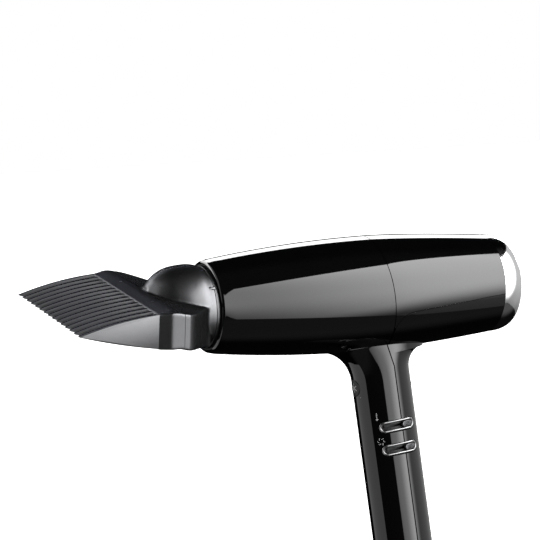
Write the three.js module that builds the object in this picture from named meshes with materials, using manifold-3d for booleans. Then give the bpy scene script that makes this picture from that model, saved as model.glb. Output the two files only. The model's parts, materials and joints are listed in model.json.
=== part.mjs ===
// A hand-held hair dryer with a pull-off, turning comb nozzle.
// The barrel lies along X: air enters at +X and leaves at -X. The handle hangs down -Z and leans
// a little towards +X. The origin is the middle of the grip, on the handle's own axis.
import * as THREE from "three";
import { mergeVertices } from "three/addons/utils/BufferGeometryUtils.js";
import Module from "manifold-3d";

const wasm = await Module();
wasm.setup();

// ---- Driving dimensions, in millimetres and degrees ----
const CLEAR = 0.3; // gap between two pieces that touch
const WALL = 2.2; // casing wall

const BARREL_R = 37.5; // outer radius at its widest, over the handle
const NOSE_LENGTH = 117; // from there to the front rim
const NOSE_RIM = 3.5; // how far the front rim stands out round the nozzle
const TAIL_LENGTH = 84; // from the widest section to the chrome ring
const TAIL_R = 32.4;
const LIP_R = 2.6; // rounding of the front rim
const MOUTH_DEPTH = 13;
const SEAT_WALL = 1.3; // outlet ring, between the mouth and the nozzle's spigot

const HANDLE_TILT = 5.1;
const HANDLE_SHIFT = 0.5; // handle axis behind the widest section
const HANDLE_A = 19.7; // half fore-and-aft size of the oval section
const HANDLE_B = 17; // half sideways size
const HANDLE_LENGTH = 178; // from the barrel axis to the flat base
const FRONT_FILLET = 23.5;
const REAR_FILLET = 13;
const GRIP_DROP = 105; // from the barrel axis to the middle of the grip

const MID_SEAM = -0.5; // front casing to rear top cover, fore-and-aft on the handle axis
const MID_SEAM_END = -34; // height where it starts to cross to the grip's seam
const HANDLE_SEAM = 2.5; // front casing to rear casing, in the grip
const HANDLE_SEAM_TOP = -48;
const COVER_SEAM_Z = -13.5; // rear top cover to rear casing
const SEAM_CORNER = 13;

const RING_LENGTH = 15; // chrome ring
const RING_BORE = 25;
const RING_SHOULDER = 8.6; // depth of the seat for the filter frame
const FRAME_WALL = 1.4; // filter frame
const FRAME_INSERT = 9; // how far it reaches into the barrel
const MESH_THICK = 1;

const COLLAR_R = 26; // nozzle spigot and collar
const NOZZLE_WALL = 1.8;
const NOZZLE_TURN = 12; // how far the comb stands turned about the barrel axis
const NOZZLE_LENGTH = 54.5; // front rim to the head's root line
const GROOVE_DEPTH = 1.2; // snap ring groove in the spigot
const GROOVE_WIDTH = 3;
const COMB_WIDTH = 108; // over the row of teeth
const TOOTH_COUNT = 15;
const TOOTH_THICK = 3.7;
const TOOTH_LENGTH = 50;
const TIP_Z = 3.2; // height of the tooth tips
const AIR_SLOT = 2.4; // width of the slots between the teeth
const HEAD_OVERHANG = 3.2; // how far the head stands out past the last tooth
const HEAD_DEPTH = 14;
const HEAD_TOP = 13.6;
const HEAD_BOTTOM = -9;

const SLOT_HALF_LENGTH = 12.5; // bezels of the two sliders
const SLOT_HALF_HEIGHT = 3.7;
const BEZEL_LINE = 1.2;
const HEAT_SLOT_Z = -86.4;
const SPEED_SLOT_Z = -101.5;
const SLIDER_HALF_LENGTH = 4.1;
const COOL_BUTTON_Z = -59.5;
const COOL_BUTTON_R = 5.3;
const ION_BUTTON_Z = -63.5;
const ION_BUTTON_R = 2.6;
const BUTTON_STAND = 1; // how far the ion button stands out

const HEATER_R = 26.2;
const HEATER_LENGTH = 84;
const BOARD_THICK = 1; // mica boards
const HEAT_WIRE_R = 0.8;
const MOTOR_R = 14;
const MOTOR_LENGTH = 37;
const CAN_WALL = 1.2;
const SHAFT_R = 1.6;
const BEARING_R = 4;
const DUCT_WALL = 1.8; // motor mount
const GUIDE_VANES = 7;
const FAN_BLADES = 9;
const FAN_LENGTH = 14;
const FAN_TIP_GAP = 0.9;
const BLADE_PITCH = 38;

const UPPER_SCREW_Z = -72;
const LOWER_SCREW_RISE = 41; // above the flat base
const SCREW_SHANK_R = 1.3;
const SCREW_HEAD_R = 2.7;
const SCREW_BOSS_R = 4.2;
const CLAMP_SPACING = 6.5; // clamp screws, off the cord's line
const CLAMP_RISE = 12; // clamp above the base cap
const BASE_HEIGHT = 8;
const CORD_HOLE_R = 4.2;
const GLAND_WALL = 3.1;
const GLAND_FLANGE = 2.4;

const FINE_SIDES = 36; // large turned pieces
const PLAIN_SIDES = 24; // pieces inside, buttons
const PIN_SIDES = 12; // screws, pins and their holes
const FAR = 300; // past every surface

// ---- Materials ----
const finish = (color, roughness, metalness = 0) =>
  new THREE.MeshStandardMaterial({ color, roughness, metalness });
const glossBlack = finish(0x060607, 0.06);
const satinBlack = finish(0x1b1c1e, 0.45);
const mattBlack = finish(0x141415, 0.7);
const chrome = finish(0xe8e8ea, 0.05, 1);
const silver = finish(0xb9babd, 0.25, 1);
const steel = finish(0x9b9da0, 0.3, 1);
const rubber = finish(0x161616, 0.85);
const whitePlastic = finish(0xd9d7cf, 0.5);
const mica = finish(0xb5a27c, 0.6);
const heatWire = finish(0x8c7f74, 0.4, 1);
const copper = finish(0xb56a3a, 0.35, 1);
const boardGreen = finish(0x1f5a34, 0.6);
const magnetGrey = finish(0x3a3a3d, 0.6);

// ---- Solids: three.js geometry, joined and cut with manifold-3d ----
function toSolid(geometry) {
  const bare = new THREE.BufferGeometry();
  const flat = geometry.index ? geometry.toNonIndexed() : geometry;
  bare.setAttribute("position", flat.getAttribute("position"));
  const merged = mergeVertices(bare, 1e-4);
  const corners = [];
  for (let i = 0; i < merged.index.count; i += 3) {
    const [a, b, c] = merged.index.array.slice(i, i + 3);
    if (a !== b && b !== c && c !== a) corners.push(a, b, c);
  }
  const vertProperties = merged.attributes.position.array;
  const build = (triVerts) =>
    new wasm.Manifold(new wasm.Mesh({ numProp: 3, vertProperties, triVerts }));
  const made = build(new Uint32Array(corners));
  return made.volume() > 0 ? made : build(new Uint32Array(corners.reverse()));
}

function toGeometry(solid) {
  const mesh = solid.getMesh();
  const position = new Float32Array(mesh.numVert * 3);
  for (let i = 0; i < mesh.numVert; i++) {
    for (let k = 0; k < 3; k++) position[i * 3 + k] = mesh.vertProperties[i * mesh.numProp + k];
  }
  const geometry = new THREE.BufferGeometry();
  geometry.setAttribute("position", new THREE.BufferAttribute(position, 3));
  geometry.setIndex(new THREE.BufferAttribute(mesh.triVerts, 1));
  geometry.computeVertexNormals();
  return geometry;
}

const join = (solids) => solids.reduce((a, b) => a.add(b));
const cut = (solid, tools) => tools.reduce((a, b) => a.subtract(b), solid);
const radians = THREE.MathUtils.degToRad;

// A solid turned about the X axis from its [x, radius] outline.
function turned(outline, sides = FINE_SIDES) {
  const points = outline.map(([x, r]) => new THREE.Vector2(r, x));
  if (outline[0][1] > 0) points.push(points[0].clone());
  return toSolid(new THREE.LatheGeometry(points, sides).rotateZ(-Math.PI / 2));
}
const rod = (x0, x1, r, sides = PIN_SIDES) => turned([[x0, 0], [x0, r], [x1, r], [x1, 0]], sides);
const tube = (x0, x1, bore, r, sides = PLAIN_SIDES) =>
  turned([[x0, bore], [x0, r], [x1, r], [x1, bore]], sides);

function block(x0, x1, y0, y1, z0, z1) {
  const box = new THREE.BoxGeometry(x1 - x0, y1 - y0, z1 - z0);
  return toSolid(box.translate((x0 + x1) / 2, (y0 + y1) / 2, (z0 + z1) / 2));
}

// An outline in X and Z carried along Y, and one in X and Y carried along Z.
function sideways(shape, y0, y1, curveSegments = 6) {
  const solid = new THREE.ExtrudeGeometry(shape, { depth: y1 - y0, bevelEnabled: false, curveSegments });
  return toSolid(solid.rotateX(Math.PI / 2).translate(0, y1, 0));
}
function upright(shape, z0, z1) {
  const solid = new THREE.ExtrudeGeometry(shape, { depth: z1 - z0, bevelEnabled: false });
  return toSolid(solid.translate(0, 0, z0));
}
const outline = (points) => new THREE.Shape(points.map(([u, v]) => new THREE.Vector2(u, v)));

function stadium(x, z, halfLength, halfHeight) {
  const shape = new THREE.Shape();
  const reach = halfLength - halfHeight;
  shape.absarc(x + reach, z, halfHeight, -Math.PI / 2, Math.PI / 2);
  shape.absarc(x - reach, z, halfHeight, Math.PI / 2, (3 * Math.PI) / 2);
  return shape;
}

// A closed solid through matching rings of points, capped flat at both ends.
function loft(rings) {
  const count = rings[0].length;
  const middle = (ring) =>
    ring.reduce((sum, p) => sum.add(p), new THREE.Vector3()).divideScalar(count);
  const position = [];
  const triangle = (...points) => points.forEach((p) => position.push(p.x, p.y, p.z));
  rings.slice(1).forEach((ring, k) => {
    const below = rings[k];
    for (let i = 0; i < count; i++) {
      const j = (i + 1) % count;
      triangle(below[i], below[j], ring[j]);
      triangle(below[i], ring[j], ring[i]);
    }
  });
  const [first, last] = [rings[0], rings[rings.length - 1]];
  for (let i = 0; i < count; i++) {
    const j = (i + 1) % count;
    triangle(middle(first), first[j], first[i]);
    triangle(middle(last), last[i], last[j]);
  }
  const geometry = new THREE.BufferGeometry();
  geometry.setAttribute("position", new THREE.Float32BufferAttribute(position, 3));
  return toSolid(geometry);
}

const steps = (from, to, count) =>
  Array.from({ length: count + 1 }, (_, i) => from + ((to - from) * i) / count);
const around = (count, point) =>
  Array.from({ length: count }, (_, i) => point((i / count) * 2 * Math.PI));
const turn = (solid, degrees) =>
  solid.transform(new THREE.Matrix4().makeRotationX(radians(degrees)).elements);

// ---- Frames: barrel, handle and nozzle ----
const tilt = radians(HANDLE_TILT);
const dryer = new THREE.Group();
const barrel = new THREE.Group();
barrel.position.set(-HANDLE_SHIFT - GRIP_DROP * Math.sin(tilt), 0, GRIP_DROP * Math.cos(tilt));
dryer.add(barrel);
const handle = new THREE.Group();
handle.position.x = HANDLE_SHIFT;
handle.rotation.y = -tilt;
handle.updateMatrix();
barrel.add(handle);
const nozzle = new THREE.Group();
nozzle.rotation.x = radians(NOZZLE_TURN);
barrel.add(nozzle);

function piece(group, name, material, solid) {
  const mesh = new THREE.Mesh(toGeometry(solid), material);
  mesh.name = name;
  group.add(mesh);
}
const onBarrel = (solid) => solid.transform(handle.matrix.elements);

// ---- Outer form: a turned barrel and an oval, flared handle ----
const MOUTH_R = COLLAR_R + SEAT_WALL + CLEAR;
const noseR = COLLAR_R + NOSE_RIM;
const mouthEnd = -NOSE_LENGTH + MOUTH_DEPTH;
function barrelRadius(x) {
  return x < 0
    ? BARREL_R - (BARREL_R - noseR) * (x / -NOSE_LENGTH) ** 2
    : BARREL_R - (BARREL_R - TAIL_R) * (x / TAIL_LENGTH) ** 1.5;
}
const innerRadius = (x) => barrelRadius(x) - WALL;

const lip = steps(90, 0, 2).map((degrees) => [
  -NOSE_LENGTH + LIP_R * (1 - Math.sin(radians(degrees))),
  noseR - LIP_R * (1 - Math.cos(radians(degrees))),
]);
const front = steps(-NOSE_LENGTH + 2.5 * LIP_R, 0, 5).map((x) => [x, barrelRadius(x)]);
const rear = steps(TAIL_LENGTH / 4, TAIL_LENGTH, 3).map((x) => [x, barrelRadius(x)]);
const barrelBody = turned([[-NOSE_LENGTH, 0], ...lip, ...front, ...rear, [TAIL_LENGTH, 0]]);
const hollow = [...steps(mouthEnd, 0, 3), ...steps(TAIL_LENGTH / 3, TAIL_LENGTH, 2)];
const barrelHollow = turned([
  [-NOSE_LENGTH - 1, 0],
  [-NOSE_LENGTH - 1, MOUTH_R],
  [mouthEnd, MOUTH_R],
  ...hollow.map((x) => [x, innerRadius(x)]),
  [TAIL_LENGTH + 1, innerRadius(TAIL_LENGTH)],
  [TAIL_LENGTH + 1, 0],
]);

// The handle flares into the barrel with a large fillet in front and a smaller one behind.
function filletTop(reach) {
  const drop = barrelRadius(reach) + reach * Math.sin(tilt);
  return -drop / Math.cos(tilt);
}
const frontTop = filletTop(-HANDLE_A - FRONT_FILLET);
const rearTop = filletTop(HANDLE_A + REAR_FILLET);
function flare(z, top, radius, inset) {
  const rise = THREE.MathUtils.clamp(z - (top - radius), 0, radius);
  return radius - Math.sqrt(Math.max(0, (radius + inset) ** 2 - rise ** 2));
}
const insideBarrelZ = -0.45 * BARREL_R;
const filletStations = steps(90, 0, 5).map(
  (degrees) => frontTop - FRONT_FILLET * (1 - Math.sin(radians(degrees))));
function handleForm(inset, bottom) {
  return loft([insideBarrelZ, ...filletStations, bottom].map((z) => {
    const ahead = HANDLE_A + flare(z, frontTop, FRONT_FILLET, inset);
    const behind = HANDLE_A + flare(z, rearTop, REAR_FILLET, inset);
    return around(28, (a) => new THREE.Vector3(
      Math.cos(a) * (Math.cos(a) < 0 ? ahead : behind), Math.sin(a) * (HANDLE_B - inset), z));
  }));
}
const capTop = -HANDLE_LENGTH + BASE_HEIGHT;
const shellBottom = capTop + CLEAR;

// ---- Casing: three glossy shells split along the seams ----
const at = (solid, z, y = 0) => solid.translate(0, y, z);
const screwZ = [UPPER_SCREW_Z, -HANDLE_LENGTH + LOWER_SCREW_RISE];
const screwHeadX = HANDLE_SEAM + 6;
const screwTipX = HANDLE_SEAM - 12;
const clampZ = shellBottom + CLAMP_RISE;
const clampSeatX = -2;
const clampSides = [-CLAMP_SPACING, CLAMP_SPACING];
const clampTipX = clampSeatX - 7;

const bosses = [
  ...screwZ.map((z) => at(rod(-HANDLE_A + WALL / 2, HANDLE_A - WALL / 2, SCREW_BOSS_R), z)),
  ...clampSides.map((y) => at(rod(-HANDLE_A * 0.88, clampSeatX, SCREW_SHANK_R + 1.5), clampZ, y)),
];
const slots = [HEAT_SLOT_Z, SPEED_SLOT_Z].map((z) => sideways(
  stadium(0, z, SLOT_HALF_LENGTH + CLEAR, SLOT_HALF_HEIGHT + CLEAR), -HANDLE_B - 5, -5));
const holes = [
  ...screwZ.flatMap((z) => [
    at(rod(screwTipX - 1, HANDLE_SEAM, SCREW_SHANK_R + CLEAR), z),
    at(rod(HANDLE_SEAM - 1, HANDLE_A, SCREW_SHANK_R + 2 * CLEAR), z),
    at(rod(screwHeadX - CLEAR, HANDLE_A + 5, SCREW_HEAD_R + CLEAR), z),
  ]),
  ...clampSides.map((y) => at(rod(clampTipX - 1, 0, SCREW_SHANK_R + CLEAR), clampZ, y)),
  ...slots,
  at(rod(-HANDLE_A - 5, -HANDLE_A / 2, COOL_BUTTON_R + CLEAR, PLAIN_SIDES), COOL_BUTTON_Z),
  at(rod(HANDLE_A / 2, HANDLE_A + 5, ION_BUTTON_R + CLEAR), ION_BUTTON_Z),
];
const casing = cut(
  cut(barrelBody.add(onBarrel(handleForm(0, shellBottom))), [
    barrelHollow,
    onBarrel(handleForm(WALL, shellBottom - 1)),
  ]).add(cut(onBarrel(join(bosses)), [barrelHollow])),
  holes.map(onBarrel),
);

// Seam lines in the handle's frame. The cover's lower edge runs level from the chrome ring and
// turns down into the seam between the two handle halves.
const halfGap = CLEAR / 2;
const cornerX = MID_SEAM + CLEAR + SEAM_CORNER;
const cornerZ = COVER_SEAM_Z - SEAM_CORNER;
const corner = (from, to, radius) => steps(from, to, 5).map((degrees) =>
  [cornerX + radius * Math.cos(radians(degrees)), cornerZ + radius * Math.sin(radians(degrees))]);
const coverEndAngle = 160; // where the cover's corner runs out into the seam
const frontZone = outline([
  [-FAR, FAR], [-FAR, -FAR], [HANDLE_SEAM - halfGap, -FAR],
  [HANDLE_SEAM - halfGap, HANDLE_SEAM_TOP], [MID_SEAM - halfGap, MID_SEAM_END],
  [MID_SEAM - halfGap, FAR],
]);
const rearZone = outline([
  [FAR, COVER_SEAM_Z - halfGap], ...corner(90, 180, SEAM_CORNER - halfGap),
  [MID_SEAM + halfGap, cornerZ - 1], [MID_SEAM + halfGap, MID_SEAM_END],
  [HANDLE_SEAM + halfGap, HANDLE_SEAM_TOP], [HANDLE_SEAM + halfGap, -FAR], [FAR, -FAR],
]);
const coverZone = outline([
  [FAR, FAR], [MID_SEAM + halfGap, FAR],
  [MID_SEAM + halfGap, cornerZ + SEAM_CORNER * Math.sin(radians(coverEndAngle))],
  ...corner(coverEndAngle, 90, SEAM_CORNER + halfGap), [FAR, COVER_SEAM_Z + halfGap],
]);
const zone = (shape) => onBarrel(sideways(shape, -FAR / 2, FAR / 2));
piece(barrel, "front_casing", glossBlack, casing.intersect(zone(frontZone)));
piece(barrel, "rear_casing", glossBlack, casing.intersect(zone(rearZone)));
piece(barrel, "rear_top_cover", glossBlack, casing.intersect(zone(coverZone)));

// ---- Outlet: seat ring and safety grille ----
const seatR = MOUTH_R - CLEAR;
const seatX0 = -NOSE_LENGTH + 2 * CLEAR;
const SEAT_STOP = 1.2; // inner shoulder that the spigot stops against
piece(barrel, "outlet_ring", mattBlack, turned([
  [seatX0, COLLAR_R + CLEAR], [seatX0, seatR], [mouthEnd, seatR], [mouthEnd, COLLAR_R - SEAT_STOP],
  [mouthEnd - SEAT_STOP, COLLAR_R - SEAT_STOP], [mouthEnd - SEAT_STOP, COLLAR_R + CLEAR],
]));

// Concentric rings on spokes.
function grille(x0, x1, rim, line, radii, spokes) {
  const parts = [tube(x0, x1, rim - line * 1.3, rim)];
  radii.forEach((r) => parts.push(tube(x0, x1, r - line / 2, r + line / 2, 16)));
  for (let i = 0; i < spokes; i++) {
    parts.push(turn(block(x0, x1, -line / 2, line / 2, 0, rim - line / 2), (360 * i) / spokes));
  }
  return join(parts);
}
const GRILLE_THICK = 1.6;
const GRILLE_LAP = 1.4; // how far its rim reaches behind the spigot's stop
const grilleX = mouthEnd + CLEAR;
const grilleR = COLLAR_R - SEAT_STOP + GRILLE_LAP;
piece(barrel, "outlet_grille", mattBlack,
  grille(grilleX, grilleX + GRILLE_THICK, grilleR, 1.2, [9, 17], 4));

// ---- Heater: two crossed mica boards, two coils and a mica sleeve ----
const heaterX0 = grilleX + GRILLE_THICK + 2 * CLEAR;
const heaterX1 = heaterX0 + HEATER_LENGTH;
const heaterMiddle = (heaterX0 + heaterX1) / 2;
const sleeveWall = 0.8;
const coilR = HEATER_R - sleeveWall - HEAT_WIRE_R - 1.9;
const boardHalf = coilR - HEAT_WIRE_R - 0.9;
piece(barrel, "mica_sleeve", mica,
  tube(heaterX0 - CLEAR, heaterX1 + 4, HEATER_R - sleeveWall, HEATER_R));
const boardX = [heaterX0 + 3, heaterX1 - 3];
const board = block(...boardX, -BOARD_THICK / 2, BOARD_THICK / 2, -boardHalf, boardHalf);
const lapHalf = BOARD_THICK / 2 + CLEAR;
const lap = (x0, x1) => block(x0, x1, -lapHalf, lapHalf, -2 * boardHalf, 2 * boardHalf);
piece(barrel, "mica_board_upright", mica, cut(board, [turn(lap(heaterMiddle, boardX[1] + 1), 90)]));
piece(barrel, "mica_board_level", mica,
  cut(turn(board, 90), [lap(boardX[0] - 1, heaterMiddle + CLEAR)]));

function coil(x0, x1, radius, turns, wire, stepsPerTurn) {
  class Helix extends THREE.Curve {
    getPoint(t) {
      const a = t * turns * 2 * Math.PI;
      return new THREE.Vector3(x0 + (x1 - x0) * t, radius * Math.sin(a), radius * Math.cos(a));
    }
  }
  const section = new THREE.Shape(
    around(4, (a) => new THREE.Vector2(wire * Math.cos(a), wire * Math.sin(a))));
  return toSolid(new THREE.ExtrudeGeometry(section, {
    steps: turns * stepsPerTurn, bevelEnabled: false, extrudePath: new Helix(),
  }));
}
const coilInset = 3;
[
  ["heater_coil_front", boardX[0] + coilInset, heaterMiddle - coilInset],
  ["heater_coil_rear", heaterMiddle + coilInset, boardX[1] - coilInset],
].forEach(([name, x0, x1]) =>
  piece(barrel, name, heatWire, coil(x0, x1, coilR, 3, HEAT_WIRE_R, 12)));
piece(barrel, "thermostat", steel, block(heaterMiddle + 8, heaterMiddle + 19, 3, 12, 3, 9));
piece(barrel, "thermal_fuse", whitePlastic,
  rod(heaterMiddle - 20, heaterMiddle - 9, 2.2).translate(0, -7, 7));
piece(barrel, "ion_needle", steel, rod(heaterX0 + 4, heaterX0 + 30, 0.7).translate(0, 9, -9));

// ---- Motor and fan ----
const ductX0 = heaterX1 + 24;
const fanX0 = ductX0 + MOTOR_LENGTH - 4;
const fanX1 = fanX0 + FAN_LENGTH;
const ductX1 = fanX1 + 3;
const ductR = Math.min(innerRadius(ductX0), innerRadius(ductX1)) - 3 * CLEAR;
const ductBore = ductR - DUCT_WALL;
const motorX1 = fanX0 - 8;
const motorX0 = motorX1 - MOTOR_LENGTH;
const hubX1 = ductX0 + 22;
const hubR = MOTOR_R + CLEAR;
const HUB_WALL = 1.4;
const vanes = Array.from({ length: GUIDE_VANES }, (_, i) => turn(
  block(ductX0, hubX1, -HUB_WALL / 2, HUB_WALL / 2, hubR + HUB_WALL / 2, ductBore + DUCT_WALL / 2),
  (360 * (i + 0.5)) / GUIDE_VANES));
piece(barrel, "motor_mount", whitePlastic, join([
  tube(ductX0, ductX1, ductBore, ductR), tube(ductX0, hubX1, hubR, hubR + HUB_WALL), ...vanes,
]));
const damperX = [ductX0 + 3, ductX0 + 9];
piece(barrel, "damper_ring", rubber,
  tube(...damperX, ductR + CLEAR, Math.min(...damperX.map(innerRadius)) - 2 * CLEAR));

const canBore = MOTOR_R - CAN_WALL;
const bearingSeat = BEARING_R + CLEAR;
const BEARING_CUP = 3.5; // how far the front bearing's cup stands out of the can
piece(barrel, "motor_can", steel, turned([
  [motorX0 - BEARING_CUP, bearingSeat], [motorX0 - BEARING_CUP, bearingSeat + CAN_WALL],
  [motorX0, bearingSeat + CAN_WALL], [motorX0, MOTOR_R], [motorX1, MOTOR_R], [motorX1, canBore],
  [motorX0 + CAN_WALL, canBore], [motorX0 + CAN_WALL, bearingSeat],
], PLAIN_SIDES));
const bellX = [motorX1 + CLEAR, motorX1 + 3];
piece(barrel, "motor_end_bell", mattBlack, tube(...bellX, bearingSeat, MOTOR_R));
const rotorBore = SHAFT_R + CLEAR;
piece(barrel, "bearing_front", steel,
  tube(motorX0 - BEARING_CUP + CLEAR, motorX0 + CAN_WALL, rotorBore, BEARING_R));
piece(barrel, "bearing_rear", steel, tube(...bellX, rotorBore, BEARING_R));

const magnetX = [motorX0 + 4, motorX1 - 9];
const magnetR = canBore - CLEAR;
const MAGNET_WALL = 2;
const magnetRing = tube(...magnetX, magnetR - MAGNET_WALL, magnetR);
const magnetHalf = (side) => turn(block(...magnetX, -MOTOR_R, MOTOR_R, 4, MOTOR_R), side);
piece(barrel, "magnet_upper", magnetGrey, magnetRing.intersect(magnetHalf(0)));
piece(barrel, "magnet_lower", magnetGrey, magnetRing.intersect(magnetHalf(180)));
const armatureR = magnetR - MAGNET_WALL - 0.7;
const ARMATURE_POLES = 5;
const armatureSlots = Array.from({ length: ARMATURE_POLES }, (_, i) => turn(
  block(motorX0, motorX1, -0.9, 0.9, armatureR * 0.62, armatureR + 1), (360 * i) / ARMATURE_POLES));
piece(barrel, "armature", copper,
  cut(tube(magnetX[0] + 1, magnetX[1] - 1, rotorBore, armatureR), armatureSlots));
const commutatorX = [magnetX[1] + 1.5, magnetX[1] + 6.5];
const COMMUTATOR_R = 4;
piece(barrel, "commutator", copper, tube(...commutatorX, rotorBore, COMMUTATOR_R));
const brush = block(commutatorX[0] + 1, commutatorX[1] - 1,
  COMMUTATOR_R + CLEAR, canBore - 1, -1.5, 1.5);
piece(barrel, "brush_right", magnetGrey, brush);
piece(barrel, "brush_left", magnetGrey, turn(brush, 180));
piece(barrel, "motor_shaft", steel, rod(motorX0 - 5, fanX1 + 2, SHAFT_R, PLAIN_SIDES));

const fanHubR = MOTOR_R - 1;
const fanR = ductBore - FAN_TIP_GAP;
const bladeArc = tube(fanX0, fanX1, fanHubR - 1, fanR);
const blade = new THREE.BoxGeometry(2 * FAN_LENGTH, 1.3, 2 * fanR).rotateZ(radians(BLADE_PITCH));
blade.translate((fanX0 + fanX1) / 2, 0, fanR);
const blades = Array.from({ length: FAN_BLADES }, (_, i) =>
  turn(toSolid(blade).intersect(bladeArc), (360 * i) / FAN_BLADES));
piece(barrel, "fan", mattBlack, join([
  turned([[fanX0, rotorBore], [fanX0, fanHubR], [fanX1 - 2, fanHubR], [fanX1, fanHubR - 3],
    [fanX1, rotorBore]], PLAIN_SIDES),
  ...blades,
]));
const guardX = ductX1 + 2;
const guardR = innerRadius(guardX + GRILLE_THICK) - 2 * CLEAR;
piece(barrel, "fan_guard", mattBlack,
  grille(guardX, guardX + GRILLE_THICK, guardR, 1.6, [10, 20], 4));

// ---- Pull-off intake: chrome ring, filter frame and mesh ----
const ringX0 = TAIL_LENGTH + CLEAR;
const ringX1 = TAIL_LENGTH + RING_LENGTH;
const shoulderX = ringX0 + RING_SHOULDER;
const frameR = RING_BORE + 2.6;
const ringSide = TAIL_R - 0.2;
const ringFace = RING_BORE + 0.8;
const ringDome = steps(0, 90, 5).map((degrees) => [
  ringX0 + 2 + (RING_LENGTH - 2 - CLEAR) * Math.sin(radians(degrees)),
  ringFace + (ringSide - ringFace) * Math.cos(radians(degrees)) ** 0.8,
]);
piece(barrel, "rear_ring", chrome, turned([
  [ringX0, frameR + CLEAR], [ringX0, ringSide], ...ringDome.slice(0, -1), [ringX1, ringFace],
  [ringX1, RING_BORE], [shoulderX, RING_BORE], [shoulderX, frameR + CLEAR],
]));
const frameX1 = shoulderX - CLEAR;
const FRAME_DISC = 2;
piece(barrel, "filter_frame", mattBlack, join([
  tube(ringX0 - FRAME_INSERT, frameX1, frameR - FRAME_WALL, frameR),
  grille(frameX1 - FRAME_DISC, frameX1, frameR, 1.3, [9, 18], 4),
]));
const meshX1 = frameX1 - FRAME_DISC - CLEAR;
piece(barrel, "filter_mesh", steel,
  rod(meshX1 - MESH_THICK, meshX1, frameR - FRAME_WALL - CLEAR, PLAIN_SIDES));

// ---- Handle fittings: buttons ----
const grip = (grow) => handleForm(-grow, -HANDLE_LENGTH);
// How far the inside wall is from the handle's axis, a given way off the middle.
const wallAt = (y) => (HANDLE_A - WALL) * Math.sqrt(1 - (y / (HANDLE_B - WALL)) ** 2);
const FLANGE = 1.1; // keeps a button in
const FLANGE_THICK = 1.2;
const coolFlangeR = COOL_BUTTON_R + FLANGE;
const coolSeatX = -wallAt(coolFlangeR) + CLEAR;
const coolStemX = coolSeatX + 4.4;
const coolSwitchX = coolStemX + 2;
const COOL_STEM_R = 2;
const SPRING_WIRE_R = 0.3;
piece(handle, "cool_shot_button", satinBlack, at(join([
  at(rod(-HANDLE_A - 3, coolSeatX + FLANGE_THICK, COOL_BUTTON_R, PLAIN_SIDES), COOL_BUTTON_Z)
    .intersect(grip(CLEAR)).translate(0, 0, -COOL_BUTTON_Z),
  rod(coolSeatX, coolSeatX + FLANGE_THICK, coolFlangeR, PLAIN_SIDES),
  rod(coolSeatX, coolStemX, COOL_STEM_R),
]), COOL_BUTTON_Z));
const springX = [coolSeatX + FLANGE_THICK + 0.7, coolSwitchX - 0.7];
piece(handle, "cool_shot_spring", steel,
  at(coil(...springX, COOL_STEM_R + 1.2, 3, SPRING_WIRE_R, 8), COOL_BUTTON_Z));
const SWITCH_HALF = 4.5;
piece(handle, "cool_shot_switch", mattBlack, block(coolSwitchX, coolSwitchX + 6,
  -SWITCH_HALF, SWITCH_HALF, COOL_BUTTON_Z - SWITCH_HALF, COOL_BUTTON_Z + SWITCH_HALF));

const ionFlangeR = ION_BUTTON_R + FLANGE;
const ionSeatX = wallAt(ionFlangeR) - CLEAR;
const ION_SWITCH_HALF = 3.2;
const ionSwitchX = ionSeatX - 2.2;
piece(handle, "ion_button", satinBlack, at(join([
  rod(ionSeatX - 1, HANDLE_A + BUTTON_STAND, ION_BUTTON_R),
  rod(ionSeatX - 1, ionSeatX, ionFlangeR),
]), ION_BUTTON_Z));
piece(handle, "ion_switch", mattBlack, block(ionSwitchX - ION_SWITCH_HALF, ionSwitchX,
  -ION_SWITCH_HALF, ION_SWITCH_HALF, ION_BUTTON_Z - ION_SWITCH_HALF, ION_BUTTON_Z + ION_SWITCH_HALF));

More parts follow.
